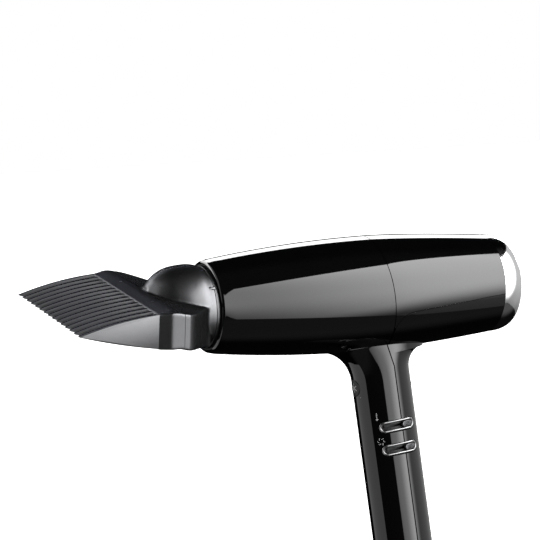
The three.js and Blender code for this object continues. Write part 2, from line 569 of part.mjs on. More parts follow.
// ---- Handle fittings: two sliders that follow the curve of the near side ----
const curveR = HANDLE_A ** 2 / HANDLE_B;
const curveY = curveR - HANDLE_B;
const sideArc = (r) => toSolid(new THREE.CylinderGeometry(r, r, 60, 60).rotateX(Math.PI / 2));
const arcBetween = (inner, outer, z) =>
  sideArc(outer).subtract(sideArc(inner)).translate(0, curveY, z);
const trackR = curveR - WALL - 2 * CLEAR;
const TRACK_THICK = 1.2;
const TONGUE_HALF = 0.6; // the slider's tongue, through the track
const slotBore = SLOT_HALF_HEIGHT - BEZEL_LINE;
const sliderX = SLOT_HALF_LENGTH - BEZEL_LINE - CLEAR - SLIDER_HALF_LENGTH;
const fittingsY = -6; // innermost reach of the bezel and track
const boardY = -4.4;
function sliderSet(name, z) {
  const rim = stadium(0, z, SLOT_HALF_LENGTH, SLOT_HALF_HEIGHT);
  const inside = stadium(0, z, SLOT_HALF_LENGTH - BEZEL_LINE, slotBore);
  const ring = sideways(rim, -HANDLE_B - 3, fittingsY).subtract(sideways(inside, -HANDLE_B - 4, 0));
  const skin = grip(CLEAR).subtract(sideArc(trackR + CLEAR).translate(0, curveY, z));
  piece(handle, name + "_bezel", silver, ring.intersect(skin));
  const strip = stadium(0, z, SLOT_HALF_LENGTH, SLOT_HALF_HEIGHT + 0.8);
  const tongueWay = block(-sliderX - 2, sliderX + 2, -FAR, 0,
    z - TONGUE_HALF - CLEAR, z + TONGUE_HALF + CLEAR);
  piece(handle, name + "_track", mattBlack, sideways(strip, -2 * HANDLE_B, fittingsY)
    .intersect(arcBetween(trackR - TRACK_THICK, trackR, z)).subtract(tongueWay));
  const cap = sideways(
    stadium(sliderX, z, SLIDER_HALF_LENGTH, slotBore - CLEAR), -2 * HANDLE_B, fittingsY)
    .intersect(arcBetween(trackR + CLEAR, curveR + CLEAR, z));
  const tongueAngle = Math.asin(sliderX / curveR);
  const tongue = block(-1, 1, -curveR + 1, -trackR + TRACK_THICK + 1, z - TONGUE_HALF, z + TONGUE_HALF)
    .transform(new THREE.Matrix4().makeRotationZ(tongueAngle).setPosition(0, curveY, 0).elements);
  piece(handle, name + "_slider", satinBlack, cap.add(tongue));
  piece(handle, name + "_switch", mattBlack, block(-7.5, 7.5,
    curveY - trackR + TRACK_THICK + 2.2, boardY - CLEAR, z - ION_SWITCH_HALF, z + ION_SWITCH_HALF));
}
sliderSet("heat", HEAT_SLOT_Z);
sliderSet("speed", SPEED_SLOT_Z);

// ---- Handle electronics, on one board between the two casing screws ----
const BOSS_GAP = 1.5;
const boardTop = screwZ[0] - SCREW_BOSS_R - BOSS_GAP;
const boardBottom = screwZ[1] + SCREW_BOSS_R + BOSS_GAP;
const up = (share) => boardBottom + (boardTop - boardBottom) * share;
const BOARD_FACE = boardY + 1.6;
piece(handle, "control_board", boardGreen, join([
  block(-9, 9, boardY, BOARD_FACE, boardBottom, boardTop),
  block(-7, -2, BOARD_FACE - 0.1, BOARD_FACE + 4.4, up(0.74), up(0.92)),
  block(1, 7, BOARD_FACE - 0.1, BOARD_FACE + 2.9, up(0.77), up(0.9)),
]));
piece(handle, "ion_module", mattBlack,
  block(-7, 7, BOARD_FACE + CLEAR, BOARD_FACE + 8.4, up(0.06), up(0.45)));
const terminalTop = screwZ[1] - SCREW_BOSS_R - BOSS_GAP;
piece(handle, "terminal_block", whitePlastic, block(-6, 6, -5, 5, terminalTop - 7.5, terminalTop));

// ---- Screws, cord clamp, gland and base cap ----
const SCREW_HEAD_THICK = 2;
const screw = (headX, tipX) => join([
  rod(headX, headX + SCREW_HEAD_THICK, SCREW_HEAD_R), rod(tipX, headX + 0.5, SCREW_SHANK_R),
]);
const casingScrew = screw(screwHeadX, screwTipX);
piece(handle, "casing_screw_upper", steel, at(casingScrew, screwZ[0]));
piece(handle, "casing_screw_lower", steel, at(casingScrew, screwZ[1]));
const CLAMP_THICK = 2.9;
const clampX = [clampSeatX + CLEAR, clampSeatX + CLEAR + CLAMP_THICK];
piece(handle, "cord_clamp", whitePlastic, cut(
  block(...clampX, -CLAMP_SPACING - 3, CLAMP_SPACING + 3, clampZ - 3, clampZ + 3),
  clampSides.map((y) => at(rod(clampX[0] - 1, clampX[1] + 1, SCREW_SHANK_R + CLEAR), clampZ, y))));
const clampScrew = screw(clampX[1] + CLEAR, clampTipX);
piece(handle, "clamp_screw_left", steel, at(clampScrew, clampZ, clampSides[0]));
piece(handle, "clamp_screw_right", steel, at(clampScrew, clampZ, clampSides[1]));

const glandR = CORD_HOLE_R + GLAND_WALL;
const vertical = (profile) =>
  turned(profile, PLAIN_SIDES).transform(new THREE.Matrix4().makeRotationY(-Math.PI / 2).elements);
const BASE_ROUND = 1.6;
const capForm = loft([
  ...steps(0, 90, 2).map((degrees) => [
    -HANDLE_LENGTH + BASE_ROUND * (1 - Math.cos(radians(degrees))),
    BASE_ROUND * (1 - Math.sin(radians(degrees))),
  ]),
  [capTop, 0],
].map(([z, inset]) => around(28, (a) => new THREE.Vector3(
  Math.cos(a) * (HANDLE_A - inset), Math.sin(a) * (HANDLE_B - inset), z))));
const capHole = vertical([[-HANDLE_LENGTH - 1, 0], [-HANDLE_LENGTH - 1, glandR + CLEAR],
  [capTop + 1, glandR + CLEAR], [capTop + 1, 0]]);
piece(handle, "base_cap", glossBlack, capForm.subtract(capHole));
const flangeZ = [shellBottom + 1.2, shellBottom + 4.2];
piece(handle, "cord_gland", rubber, vertical([
  [-HANDLE_LENGTH + 0.5, CORD_HOLE_R], [-HANDLE_LENGTH + 0.5, glandR], [flangeZ[0], glandR],
  [flangeZ[0], glandR + GLAND_FLANGE], [flangeZ[1], glandR + GLAND_FLANGE], [flangeZ[1], CORD_HOLE_R],
]));

// ---- Nozzle: spigot, domed collar and flat fan-shaped duct ----
const rootX = -NOSE_LENGTH - NOZZLE_LENGTH;
const headX = rootX + HEAD_DEPTH;
const spigotEnd = mouthEnd - SEAT_STOP - 2.5 * CLEAR;
const headHalf = COMB_WIDTH / 2 + HEAD_OVERHANG;
const collarX = -NOSE_LENGTH - 2;
const domeLength = collarX - headX - 0.6;
const domeDepth = NOZZLE_WALL + GROOVE_DEPTH * 0.6;
// Each ring: how far along the dome, its middle's height, half width and half height.
const domeRings = (inset) => [
  [0, 0, COLLAR_R, COLLAR_R],
  [0.18, 1.4, COLLAR_R + 0.4, COLLAR_R + 0.6],
  [0.39, 3, COLLAR_R - 1, COLLAR_R - 1],
  [0.7, 7, COLLAR_R * 0.73, COLLAR_R * 0.71],
  [0.88, 8, COLLAR_R * 0.5, COLLAR_R * 0.51],
  [1, 9.5, COLLAR_R * 0.27, COLLAR_R * 0.254],
].map(([share, z, halfWidth, halfHeight]) => around(28, (a) => new THREE.Vector3(
  collarX - domeLength * share, Math.sin(a) * (halfWidth - inset), z + Math.cos(a) * (halfHeight - inset))));
const spigotRing = (x, inset) => around(28, (a) => new THREE.Vector3(
  x, Math.sin(a) * (COLLAR_R - inset), Math.cos(a) * (COLLAR_R - inset)));
const flareX = collarX - 3;
// Plan and side outlines of the flat duct: as wide as the head in front, as the collar behind.
function planOutline(inset) {
  const wide = headHalf - inset;
  const narrow = COLLAR_R - 2 - inset;
  const half = [[headX, wide], [headX + 7, wide - 2], [headX + 11, wide - 6],
    [flareX - 7, narrow + 7], [flareX, narrow]];
  return outline([...half, ...half.map(([x, y]) => [x, -y]).reverse()]);
}
const sideOutline = (inset) => outline([
  [headX, HEAD_TOP - inset], [flareX, 6 - inset], [flareX, -0.77 * COLLAR_R + inset],
  [headX + 16, HEAD_BOTTOM - 4 + inset], [headX, HEAD_BOTTOM + inset],
]);
const fanDuct = (inset) => sideways(sideOutline(inset), -headHalf - 1, headHalf + 1)
  .intersect(upright(planOutline(inset), -FAR, FAR));
const grooveX = [spigotEnd - 4.6, spigotEnd - 4.6 + GROOVE_WIDTH];
const grooveR = COLLAR_R - GROOVE_DEPTH;
const ductOut = loft([spigotRing(spigotEnd, 0), ...domeRings(0)]).add(fanDuct(0));
const ductIn = join([
  loft([spigotRing(spigotEnd + 1, domeDepth), ...domeRings(domeDepth)]),
  fanDuct(NOZZLE_WALL),
  block(headX - 1, headX + 4, -headHalf + 6, headHalf - 6, HEAD_BOTTOM + 3, HEAD_TOP - 3),
]);
const ductFront = block(headX - 5, headX + CLEAR, -FAR, FAR, -FAR, FAR);
const INDEX_TURN = 49; // the raised index bar, round from the top
const indexBar = turn(
  block(collarX - 4, collarX + 0.8, -1, 1, COLLAR_R - 1, COLLAR_R + 0.8), INDEX_TURN);
piece(nozzle, "nozzle_duct", satinBlack, cut(ductOut.add(indexBar), [
  ductIn, ductFront, tube(...grooveX, grooveR, COLLAR_R + 1, FINE_SIDES),
]));
const RING_SPLIT = 5; // gap in the snap ring
piece(nozzle, "nozzle_snap_ring", steel,
  tube(grooveX[0] + CLEAR, grooveX[1] - CLEAR, grooveR + CLEAR, COLLAR_R, FINE_SIDES)
    .subtract(block(-FAR, FAR, -RING_SPLIT / 2, RING_SPLIT / 2, -FAR, 0)));

// ---- Comb head: a hollow bar with a row of leaf-shaped teeth and air slots between them ----
const headSide = outline([
  [headX, HEAD_TOP - 0.1], [headX - 4.5, HEAD_TOP + 0.6], [rootX, HEAD_TOP - 0.4],
  [rootX, HEAD_BOTTOM + 0.2], [rootX + 3, HEAD_BOTTOM - 0.2], [headX, HEAD_BOTTOM],
]);
const headCorner = [[rootX + 9, headHalf - 0.3], [rootX + 4, headHalf - 1.1], [rootX, COMB_WIDTH / 2]];
const headPlan = outline([
  [headX, headHalf], ...headCorner, ...headCorner.map(([x, y]) => [x, -y]).reverse(),
  [headX, -headHalf],
]);
const headBody = sideways(headSide, -headHalf - 1, headHalf + 1).intersect(upright(headPlan, -FAR, FAR));
const headHollow = block(rootX + 3, headX + 1, -COMB_WIDTH / 2 + 2, COMB_WIDTH / 2 - 2,
  HEAD_BOTTOM + 2, HEAD_TOP - 2.4);
const tipX = rootX - TOOTH_LENGTH;
const TIP_HALF = 0.4;
const toothRootX = rootX + 0.5;
const tooth = new THREE.Shape();
tooth.moveTo(toothRootX, HEAD_BOTTOM + 0.3);
tooth.quadraticCurveTo((rootX + tipX) / 2, HEAD_BOTTOM + 4.5, tipX, TIP_Z - TIP_HALF);
tooth.lineTo(tipX, TIP_Z + TIP_HALF);
tooth.quadraticCurveTo((rootX + tipX) / 2, HEAD_TOP - 2, toothRootX, HEAD_TOP - 0.5);
const pitch = (COMB_WIDTH - TOOTH_THICK) / (TOOTH_COUNT - 1);
const row = (count) => Array.from({ length: count }, (_, i) => (i - (count - 1) / 2) * pitch);
const toothRow = row(TOOTH_COUNT).map((y) =>
  sideways(tooth, y - TOOTH_THICK / 2, y + TOOTH_THICK / 2, 4));
const airSlots = row(TOOTH_COUNT - 1).map((y) => block(
  rootX - 1, rootX + 4, y - AIR_SLOT / 2, y + AIR_SLOT / 2, HEAD_BOTTOM + 4, HEAD_TOP - 4));
piece(nozzle, "comb_head", satinBlack, cut(join([headBody, ...toothRow]), [headHollow, ...airSlots]));

export default dryer;
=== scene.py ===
import json
import math

import bmesh
import bpy
from mathutils import Matrix, Vector


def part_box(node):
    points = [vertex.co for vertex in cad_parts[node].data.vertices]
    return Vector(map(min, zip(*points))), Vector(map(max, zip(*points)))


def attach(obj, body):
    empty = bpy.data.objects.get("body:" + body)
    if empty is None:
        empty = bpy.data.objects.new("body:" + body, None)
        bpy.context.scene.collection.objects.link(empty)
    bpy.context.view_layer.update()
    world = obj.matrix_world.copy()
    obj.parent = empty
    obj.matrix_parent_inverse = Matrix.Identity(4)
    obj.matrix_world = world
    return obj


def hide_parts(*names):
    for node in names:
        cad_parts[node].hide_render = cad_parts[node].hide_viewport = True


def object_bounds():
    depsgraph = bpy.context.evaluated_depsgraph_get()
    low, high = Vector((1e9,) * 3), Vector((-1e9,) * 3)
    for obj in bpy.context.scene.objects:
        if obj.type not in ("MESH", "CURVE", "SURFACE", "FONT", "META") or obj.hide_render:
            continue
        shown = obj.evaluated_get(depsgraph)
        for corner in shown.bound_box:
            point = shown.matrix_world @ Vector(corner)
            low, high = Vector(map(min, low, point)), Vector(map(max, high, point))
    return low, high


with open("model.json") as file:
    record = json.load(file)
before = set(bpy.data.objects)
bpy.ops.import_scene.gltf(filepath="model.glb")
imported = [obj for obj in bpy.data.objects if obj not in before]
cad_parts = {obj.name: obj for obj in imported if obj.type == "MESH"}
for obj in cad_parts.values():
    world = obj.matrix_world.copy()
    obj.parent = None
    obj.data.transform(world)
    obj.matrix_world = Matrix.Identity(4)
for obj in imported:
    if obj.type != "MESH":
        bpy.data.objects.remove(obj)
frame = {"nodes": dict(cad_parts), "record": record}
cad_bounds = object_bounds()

# ---- Camera ----
# A long lens in front of the dryer's left side, just above the barrel and rolled a little, so
# that the nozzle comes forward and the foot of the handle runs out of the picture.
LOOK_AT = Vector((-0.0792, 0, 0.1245))
CAMERA_DISTANCE = 1.657
azimuth = math.radians(-24.9)
elevation = math.radians(3)
roll = math.radians(-3.25)
back = Vector((
    math.sin(azimuth) * math.cos(elevation),
    -math.cos(azimuth) * math.cos(elevation),
    math.sin(elevation),
))
level = Vector((math.cos(azimuth), math.sin(azimuth), 0))
upright = back.cross(level)
across = level * math.cos(roll) + upright * math.sin(roll)
above = upright * math.cos(roll) - level * math.sin(roll)
camera = bpy.data.objects.new("camera", bpy.data.cameras.new("camera"))
camera.data.sensor_width = 36
camera.data.lens = 173.3
camera.matrix_world = Matrix.Translation(LOOK_AT + back * CAMERA_DISTANCE) @ Matrix(
    (across, above, back)).transposed().to_4x4()
bpy.context.scene.collection.objects.link(camera)
bpy.context.scene.camera = camera
bpy.context.scene.view_settings.view_transform = "Standard"


# ---- Studio light ----
# Plain soft boxes: a wide wall of light on the right that fades downwards and to both sides, a
# long strip above and behind, and a dim one on the left. The room itself is white.
class Value:
    """A number that varies from place to place. Arithmetic on it adds Math nodes."""

    def __init__(self, nodes, socket):
        self.nodes = nodes
        self.socket = socket

    def math(self, operation, *values):
        return self.nodes.node("Math", {"operation": operation}, dict(enumerate(values)))

    def __add__(self, other):
        return self.math("ADD", self, other)

    def __sub__(self, other):
        return self.math("SUBTRACT", self, other)

    def __rsub__(self, other):
        return self.math("SUBTRACT", other, self)

    def __mul__(self, other):
        return self.math("MULTIPLY", self, other)

    def __truediv__(self, other):
        return self.math("DIVIDE", self, other)

    def __gt__(self, other):
        return self.math("GREATER_THAN", self, other)

    def __lt__(self, other):
        return self.math("LESS_THAN", self, other)


class Nodes:
    """A node tree that is written one node at a time."""

    def __init__(self, tree):
        self.tree = tree

    def node(self, kind, settings=None, inputs=None, output=0):
        made = self.tree.nodes.new("ShaderNode" + kind)
        for name, value in (settings or {}).items():
            setattr(made, name, value)
        for name, value in (inputs or {}).items():
            if isinstance(value, Value):
                self.tree.links.new(value.socket, made.inputs[name])
            else:
                made.inputs[name].default_value = value
        return Value(self, made.outputs[output])


world = bpy.data.worlds.new("studio")
world.use_nodes = True
bpy.context.scene.world = world
studio = Nodes(world.node_tree)
way = studio.node("TexCoord", output="Generated")
way_x, way_y, way_z = (
    studio.node("SeparateXYZ", inputs={"Vector": way}, output=axis) for axis in "XYZ")


def soft_box(facing, sides, heights):
    """Where a flat soft box is seen: 1 inside its edges. Edges are shares of its distance."""
    angle = math.radians(facing)
    depth = way_x * math.sin(angle) - way_y * math.cos(angle)
    side = (way_x * math.cos(angle) + way_y * math.sin(angle)) / depth
    height = way_z / depth
    seen = (depth > 0.001) * (side > sides[0]) * (side < sides[1])
    return seen * (height > heights[0]) * (height < heights[1]), side, height


def ramp(value, start, end, low, high):
    """A smooth change from low to high as value goes from start to end."""
    return value.nodes.node("MapRange", {"interpolation_type": "SMOOTHSTEP"}, {
        "Value": value, "From Min": start, "From Max": end, "To Min": low, "To Max": high})


WALL_BEARING = 63
WALL_SLANT = 0.45
STRIP_BEARING = 180
STRIP_LOW = 0.34
STRIP_HIGH = 0.95
DIM_BEARING = -112
DIM_STRENGTH = 0.7
wall, wall_side, wall_height = soft_box(WALL_BEARING, (-2.6, 4), (-0.92, 1.22))
slant = wall_side - wall_height * WALL_SLANT
wall = wall * ramp(wall_side, -1.3, -0.3, 2.5, 6.0) * ramp(slant, -0.5, -0.05, 1.0, 0.1)
wall = wall * ramp(wall_height, -1.15, 0.2, 0.24, 1.0)
strip, _, strip_height = soft_box(STRIP_BEARING, (-3, 3), (STRIP_LOW, STRIP_HIGH))
strip = strip * ramp(strip_height, STRIP_LOW, STRIP_HIGH, 2.6, 5)
dim, _, _ = soft_box(DIM_BEARING, (-0.8, 0.8), (-1.5, 1.5))
bounce = ramp(way_z, -0.3, -0.6, 0.02, 0.08) * ramp(way_y, 0.1, -0.3, 0.05, 1.0)
boxes = wall + strip + dim * DIM_STRENGTH + bounce
seen_directly = studio.node("LightPath", output="Is Camera Ray")
world.node_tree.links.new(
    (boxes * (1 - seen_directly) + seen_directly).socket,
    world.node_tree.nodes["Background"].inputs["Strength"])
world.node_tree.nodes["Background"].inputs["Color"].default_value = (1, 1, 1, 1)


# ---- Floor ----
# A plain white sheet well below the handle's foot. It glows a little, so nothing marks it, and it
# stays out of the glossy shells' reflections.
class Finish(Nodes):
    """A material on the Principled shader, patterned in the object's own coordinates."""

    def __init__(self, name, sockets=None):
        self.material = bpy.data.materials.new(name)
        self.material.use_nodes = True
        super().__init__(self.material.node_tree)
        self.shader = self.tree.nodes["Principled BSDF"]
        self.place = self.node("TexCoord", output="Object")
        self.surface(sockets or {})

    def surface(self, sockets):
        for name, value in sockets.items():
            if isinstance(value, Value):
                self.tree.links.new(value.socket, self.shader.inputs[name])
            else:
                self.shader.inputs[name].default_value = value

    def noise(self, size, detail=3):
        return self.node("TexNoise", inputs={
            "Vector": self.place, "Scale": 1 / size, "Detail": detail}, output="Fac")

    def between(self, share, low, high):
        return self.node("MapRange", inputs={
            "Value": share, "From Min": 0.3, "From Max": 0.7, "To Min": low, "To Max": high})

    def colours(self, share, one, other):
        return self.node("Mix", {"data_type": "RGBA"}, {
            0: share, 6: (*one, 1), 7: (*other, 1)}, output=2)

    def relief(self, height, depth, strength=1.0):
        return self.node("Bump", inputs={
            "Height": height, "Distance": depth, "Strength": strength})


FLOOR_DROP = 0.05
lowest = cad_bounds[0]
bpy.ops.object.select_all(action="DESELECT")
bpy.ops.mesh.primitive_plane_add(size=60, location=(0, 0, lowest.z - FLOOR_DROP))
floor = bpy.context.object
floor.name = "floor"
floor.visible_glossy = False
floor.visible_diffuse = False
floor_finish = Finish("floor_white", {
    "Roughness": 0.9, "Emission Color": (1, 1, 1, 1), "Emission Strength": 1.0})
floor_mottle = floor_finish.noise(0.4)
floor_finish.surface({"Base Color": floor_finish.colours(
    floor_mottle, (0.84, 0.84, 0.84), (0.9, 0.9, 0.9))})
floor.data.materials.append(floor_finish.material)


# ---- Motor ----
# A small permanent-magnet motor on the barrel's axis: drawn steel can, ferrite magnets, a wound
# rotor on a ground shaft and two carbon brushes on a copper commutator.
def paint(finish, *names):
    for name in names:
        frame["nodes"][name].material_slots[0].material = finish.material


def grained(name, dark, light, roughness, grain, relief, metallic=0.0):
    """A finish whose colour, gloss and surface all vary with one fine grain."""
    finish = Finish(name, {"Metallic": metallic})
    fine = finish.noise(grain)
    broad = finish.noise(grain * 14)
    finish.surface({
        "Base Color": finish.colours(broad, dark, light),
        "Roughness": finish.between(fine, roughness - 0.05, roughness + 0.06),
        "Normal": finish.relief(fine, relief),
    })
    return finish


drawn_steel = grained(
    "drawn_steel", (0.5, 0.5, 0.51), (0.62, 0.62, 0.63), 0.28, 0.0004, 0.00001, 1.0)
ground_steel = grained(
    "ground_steel", (0.55, 0.55, 0.56), (0.7, 0.7, 0.71), 0.2, 0.0002, 0.000006, 1.0)
ferrite = grained("ferrite", (0.05, 0.05, 0.055), (0.1, 0.1, 0.105), 0.6, 0.0003, 0.00004)
carbon = grained("carbon", (0.015, 0.015, 0.016), (0.05, 0.05, 0.05), 0.5, 0.0002, 0.00003)
windings = Finish("copper_windings", {"Metallic": 0.9})
turns = windings.node("TexWave", {"bands_direction": "X"}, {
    "Vector": windings.place, "Scale": 420, "Distortion": 0.6})
windings.surface({
    "Base Color": windings.colours(turns, (0.32, 0.12, 0.04), (0.78, 0.4, 0.2)),
    "Roughness": windings.between(turns, 0.25, 0.45),
    "Normal": windings.relief(turns, 0.0001),
})
paint(drawn_steel, "motor_can", "thermostat")
paint(ground_steel, "motor_shaft", "bearing_front", "bearing_rear", "ion_needle")
paint(ferrite, "magnet_upper", "magnet_lower")
paint(carbon, "brush_left", "brush_right")
paint(windings, "armature", "commutator")

# ---- Motor mount, fan and guard ----
# The mount is moulded in glass-filled nylon and sits in a rubber ring. The fan and its guard are
# black mouldings with a fine spark-eroded texture.
nylon = grained("glass_filled_nylon", (0.62, 0.6, 0.54), (0.78, 0.76, 0.7), 0.5, 0.0003, 0.00003)
rubber = grained("rubber", (0.012, 0.012, 0.012), (0.028, 0.028, 0.028), 0.8, 0.0003, 0.00003)
moulded_black = grained(
    "moulded_black", (0.012, 0.012, 0.013), (0.024, 0.024, 0.025), 0.55, 0.00035, 0.00003)
paint(nylon, "motor_mount", "thermal_fuse", "terminal_block", "cord_clamp")
paint(rubber, "damper_ring")
paint(moulded_black, "motor_end_bell", "fan", "fan_guard")

# ---- Heater ----
# Resistance wire wound round crossed mica boards inside a mica sleeve. The sheet shows golden
# flakes, and the wire has gone brown and blue from its first firing.
mica = Finish("mica_sheet")
flakes = mica.node("TexVoronoi", {"feature": "F1"}, {
    "Vector": mica.place, "Scale": 450}, output="Color")
flake_share = mica.node("SeparateColor", inputs={"Color": flakes})
mica.surface({
    "Base Color": mica.colours(flake_share, (0.34, 0.24, 0.12), (0.6, 0.48, 0.3)),
    "Roughness": mica.between(flake_share, 0.3, 0.6),
    "Normal": mica.relief(flake_share, 0.00004),
})
heat_wire = Finish("fired_wire", {"Metallic": 1.0})
firing = heat_wire.noise(0.004)
heat_wire.surface({
    "Base Color": heat_wire.colours(firing, (0.16, 0.1, 0.07), (0.22, 0.25, 0.34)),
    "Roughness": heat_wire.between(firing, 0.3, 0.5),
})
paint(mica, "mica_sleeve", "mica_board_upright", "mica_board_level")
paint(heat_wire, "heater_coil_front", "heater_coil_rear")

# ---- Electronics and switches ----
# A solder-masked board carries the ioniser and the switches, which are plain black mouldings.
board = Finish("solder_mask", {"Coat Roughness": 0.2})
tracks = board.node("TexVoronoi", {"feature": "DISTANCE_TO_EDGE"}, {
    "Vector": board.place, "Scale": 240}, output="Distance")
copper_line = tracks < 0.08
board.surface({
    "Base Color": board.colours(copper_line, (0.012, 0.09, 0.03), (0.04, 0.2, 0.07)),
    "Roughness": board.between(board.noise(0.001), 0.3, 0.45),
    "Coat Weight": 0.4,
    "Normal": board.relief(copper_line, 0.00003),
})
paint(board, "control_board")
paint(moulded_black, "ion_module", "cool_shot_switch", "ion_switch", "heat_switch",
      "speed_switch", "heat_track", "speed_track")
paint(ground_steel, "casing_screw_upper", "casing_screw_lower", "clamp_screw_left",
      "clamp_screw_right", "cool_shot_spring", "nozzle_snap_ring")

# ---- Casing ----
# Three shells moulded in high-gloss black: the front half, the cover over the fan and the rear
# half with the back of the grip. They meet along a fine seam all round.
NOSE_LENGTH = 0.117
TAIL_LENGTH = 0.084
RING_LENGTH = 0.015
BARREL_R = 0.0375
NOSE_R = 0.0295
TAIL_R = 0.0324
LIP_R = 0.0026
WALL = 0.0022
MOUTH_R = 0.0276
MOUTH_DEPTH = 0.013
GRIP_A = 0.0197
GRIP_B = 0.017
GRIP_LENGTH = 0.178
FRONT_FILLET = 0.0235
REAR_FILLET = 0.013
BASE_HEIGHT = 0.008
CLEAR = 0.0003
HANDLE_SHIFT = 0.0005

joints = {joint["name"]: joint for joint in frame["record"]["behaviour"]["joints"]}
grip_axis = joints["heat_slide"]["axis"]
lean = math.atan2(-grip_axis[0], grip_axis[2])
axle_low, axle_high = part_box("motor_shaft")
BARREL = Matrix.Translation((
    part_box("rear_ring")[1].x - RING_LENGTH - TAIL_LENGTH, 0, (axle_low.z + axle_high.z) / 2))
HANDLE = BARREL @ Matrix.Translation((HANDLE_SHIFT, 0, 0)) @ Matrix.Rotation(-lean, 4, "Y")


def steps(start, end, count):
    return [start + (end - start) * i / count for i in range(count + 1)]


def arc(u, v, radius, start, end, count=8):
    """Points round a centre in a flat outline, angles in degrees."""
    return [(u + radius * math.cos(math.radians(a)), v + radius * math.sin(math.radians(a)))
            for a in steps(start, end, count)]


def wire(name, points):
    """A line of edges drawn out point by point, left selected in edit mode."""
    bpy.ops.object.select_all(action="DESELECT")
    bpy.ops.mesh.primitive_plane_add(size=0.001)
    piece = bpy.context.object
    piece.name = name
    bpy.ops.object.mode_set(mode="EDIT")
    bpy.ops.mesh.merge(type="CENTER")
    bpy.ops.transform.translate(value=points[0])
    for here, there in zip(points, points[1:]):
        step = Vector(there) - Vector(here)
        bpy.ops.mesh.extrude_region_move(TRANSFORM_OT_translate={"value": step})
    bpy.ops.mesh.select_all(action="SELECT")
    return piece


def close_up():
    bpy.ops.mesh.select_all(action="SELECT")
    bpy.ops.mesh.remove_doubles(threshold=0.000001)
    bpy.ops.mesh.normals_make_consistent(inside=False)
    bpy.ops.object.mode_set(mode="OBJECT")


def turned(name, outline, sides=128):
    """A solid spun about the X axis from its (along, radius) outline."""
    piece = wire(name, [(x, 0, r) for x, r in outline])
    bpy.ops.mesh.spin(steps=sides, angle=2 * math.pi, center=(0, 0, 0), axis=(1, 0, 0))
    close_up()
    return piece


def tube(name, x0, x1, bore, radius, sides=128):
    return turned(name, [(x0, bore), (x0, radius), (x1, radius), (x1, bore), (x0, bore)], sides)


def prism(name, outline, low, high):
    """A flat outline in X and Z carried along Y."""
    piece = wire(name, [(u, low, v) for u, v in outline])
    bpy.ops.mesh.edge_face_add()
    bpy.ops.mesh.extrude_region_move(TRANSFORM_OT_translate={"value": (0, high - low, 0)})
    close_up()
    return piece


def block(size):
    """A cuboid about the origin."""
    bpy.ops.object.select_all(action="DESELECT")
    bpy.ops.mesh.primitive_cube_add(size=1)
    bpy.context.object.dimensions = size
    return bpy.context.object


def settle(piece, where):
    """Puts a piece in its place and writes that place into its mesh."""
    bpy.ops.object.select_all(action="DESELECT")
    piece.select_set(True)
    bpy.context.view_layer.objects.active = piece
    piece.matrix_world = where @ piece.matrix_world
    bpy.ops.object.transform_apply(location=True, rotation=True, scale=True)
    return piece


def copy_of(piece, name):
    twin = piece.copy()
    twin.data = piece.data.copy()
    twin.name = name
    bpy.context.scene.collection.objects.link(twin)
    return twin


def modify(piece, kind, **settings):
    """Adds a modifier and applies it."""
    modifier = piece.modifiers.new(kind, kind)
    for name, value in settings.items():
        setattr(modifier, name, value)
    bpy.context.view_layer.objects.active = piece
    bpy.ops.object.modifier_apply(modifier=modifier.name)
    return piece


def rounded(piece, width, segments, angle):
    """Rounds the edges that turn by more than an angle in degrees."""
    return modify(piece, "BEVEL", width=width, segments=segments, limit_method="ANGLE",
                  angle_limit=math.radians(angle))


def carve(piece, tool, how):
    modify(piece, "BOOLEAN", operation=how, solver="EXACT", object=tool)
    bpy.data.objects.remove(tool)
    return piece


def joined(pieces):
    bpy.ops.object.select_all(action="DESELECT")
    for piece in pieces:
        piece.select_set(True)
    bpy.context.view_layer.objects.active = pieces[0]
    bpy.ops.object.join()
    return pieces[0]


def smooth(piece, angle=35):
    bpy.ops.object.select_all(action="DESELECT")
    piece.select_set(True)
    bpy.context.view_layer.objects.active = piece
    bpy.ops.object.shade_smooth_by_angle(angle=math.radians(angle))


def mount(piece, finish, body, slot, *nodes):
    """Finishes a piece: its material, the body that it rides on and the node that it stands for."""
    piece.data.materials.clear()
    piece.data.materials.append(finish.material)
    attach(piece, body)
    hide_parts(*nodes)


def barrel_radius(x):
    if x < 0:
        return BARREL_R - (BARREL_R - NOSE_R) * (x / NOSE_LENGTH) ** 2
    return BARREL_R - (BARREL_R - TAIL_R) * (x / TAIL_LENGTH) ** 1.5


def fillet_top(reach):
    return -(barrel_radius(reach) + reach * math.sin(lean)) / math.cos(lean)


front_top = fillet_top(-GRIP_A - FRONT_FILLET)
rear_top = fillet_top(GRIP_A + REAR_FILLET)


def flare(z, top, radius, inset):
    rise = min(max(z - (top - radius), 0), radius)
    return radius - math.sqrt(max(0, (radius + inset) ** 2 - rise ** 2))


def select_where(piece, test):
    mesh = bmesh.from_edit_mesh(piece.data)
    for vertex in mesh.verts:
        vertex.select_set(test(vertex.co))
    mesh.select_flush_mode()
    bmesh.update_edit_mesh(piece.data)


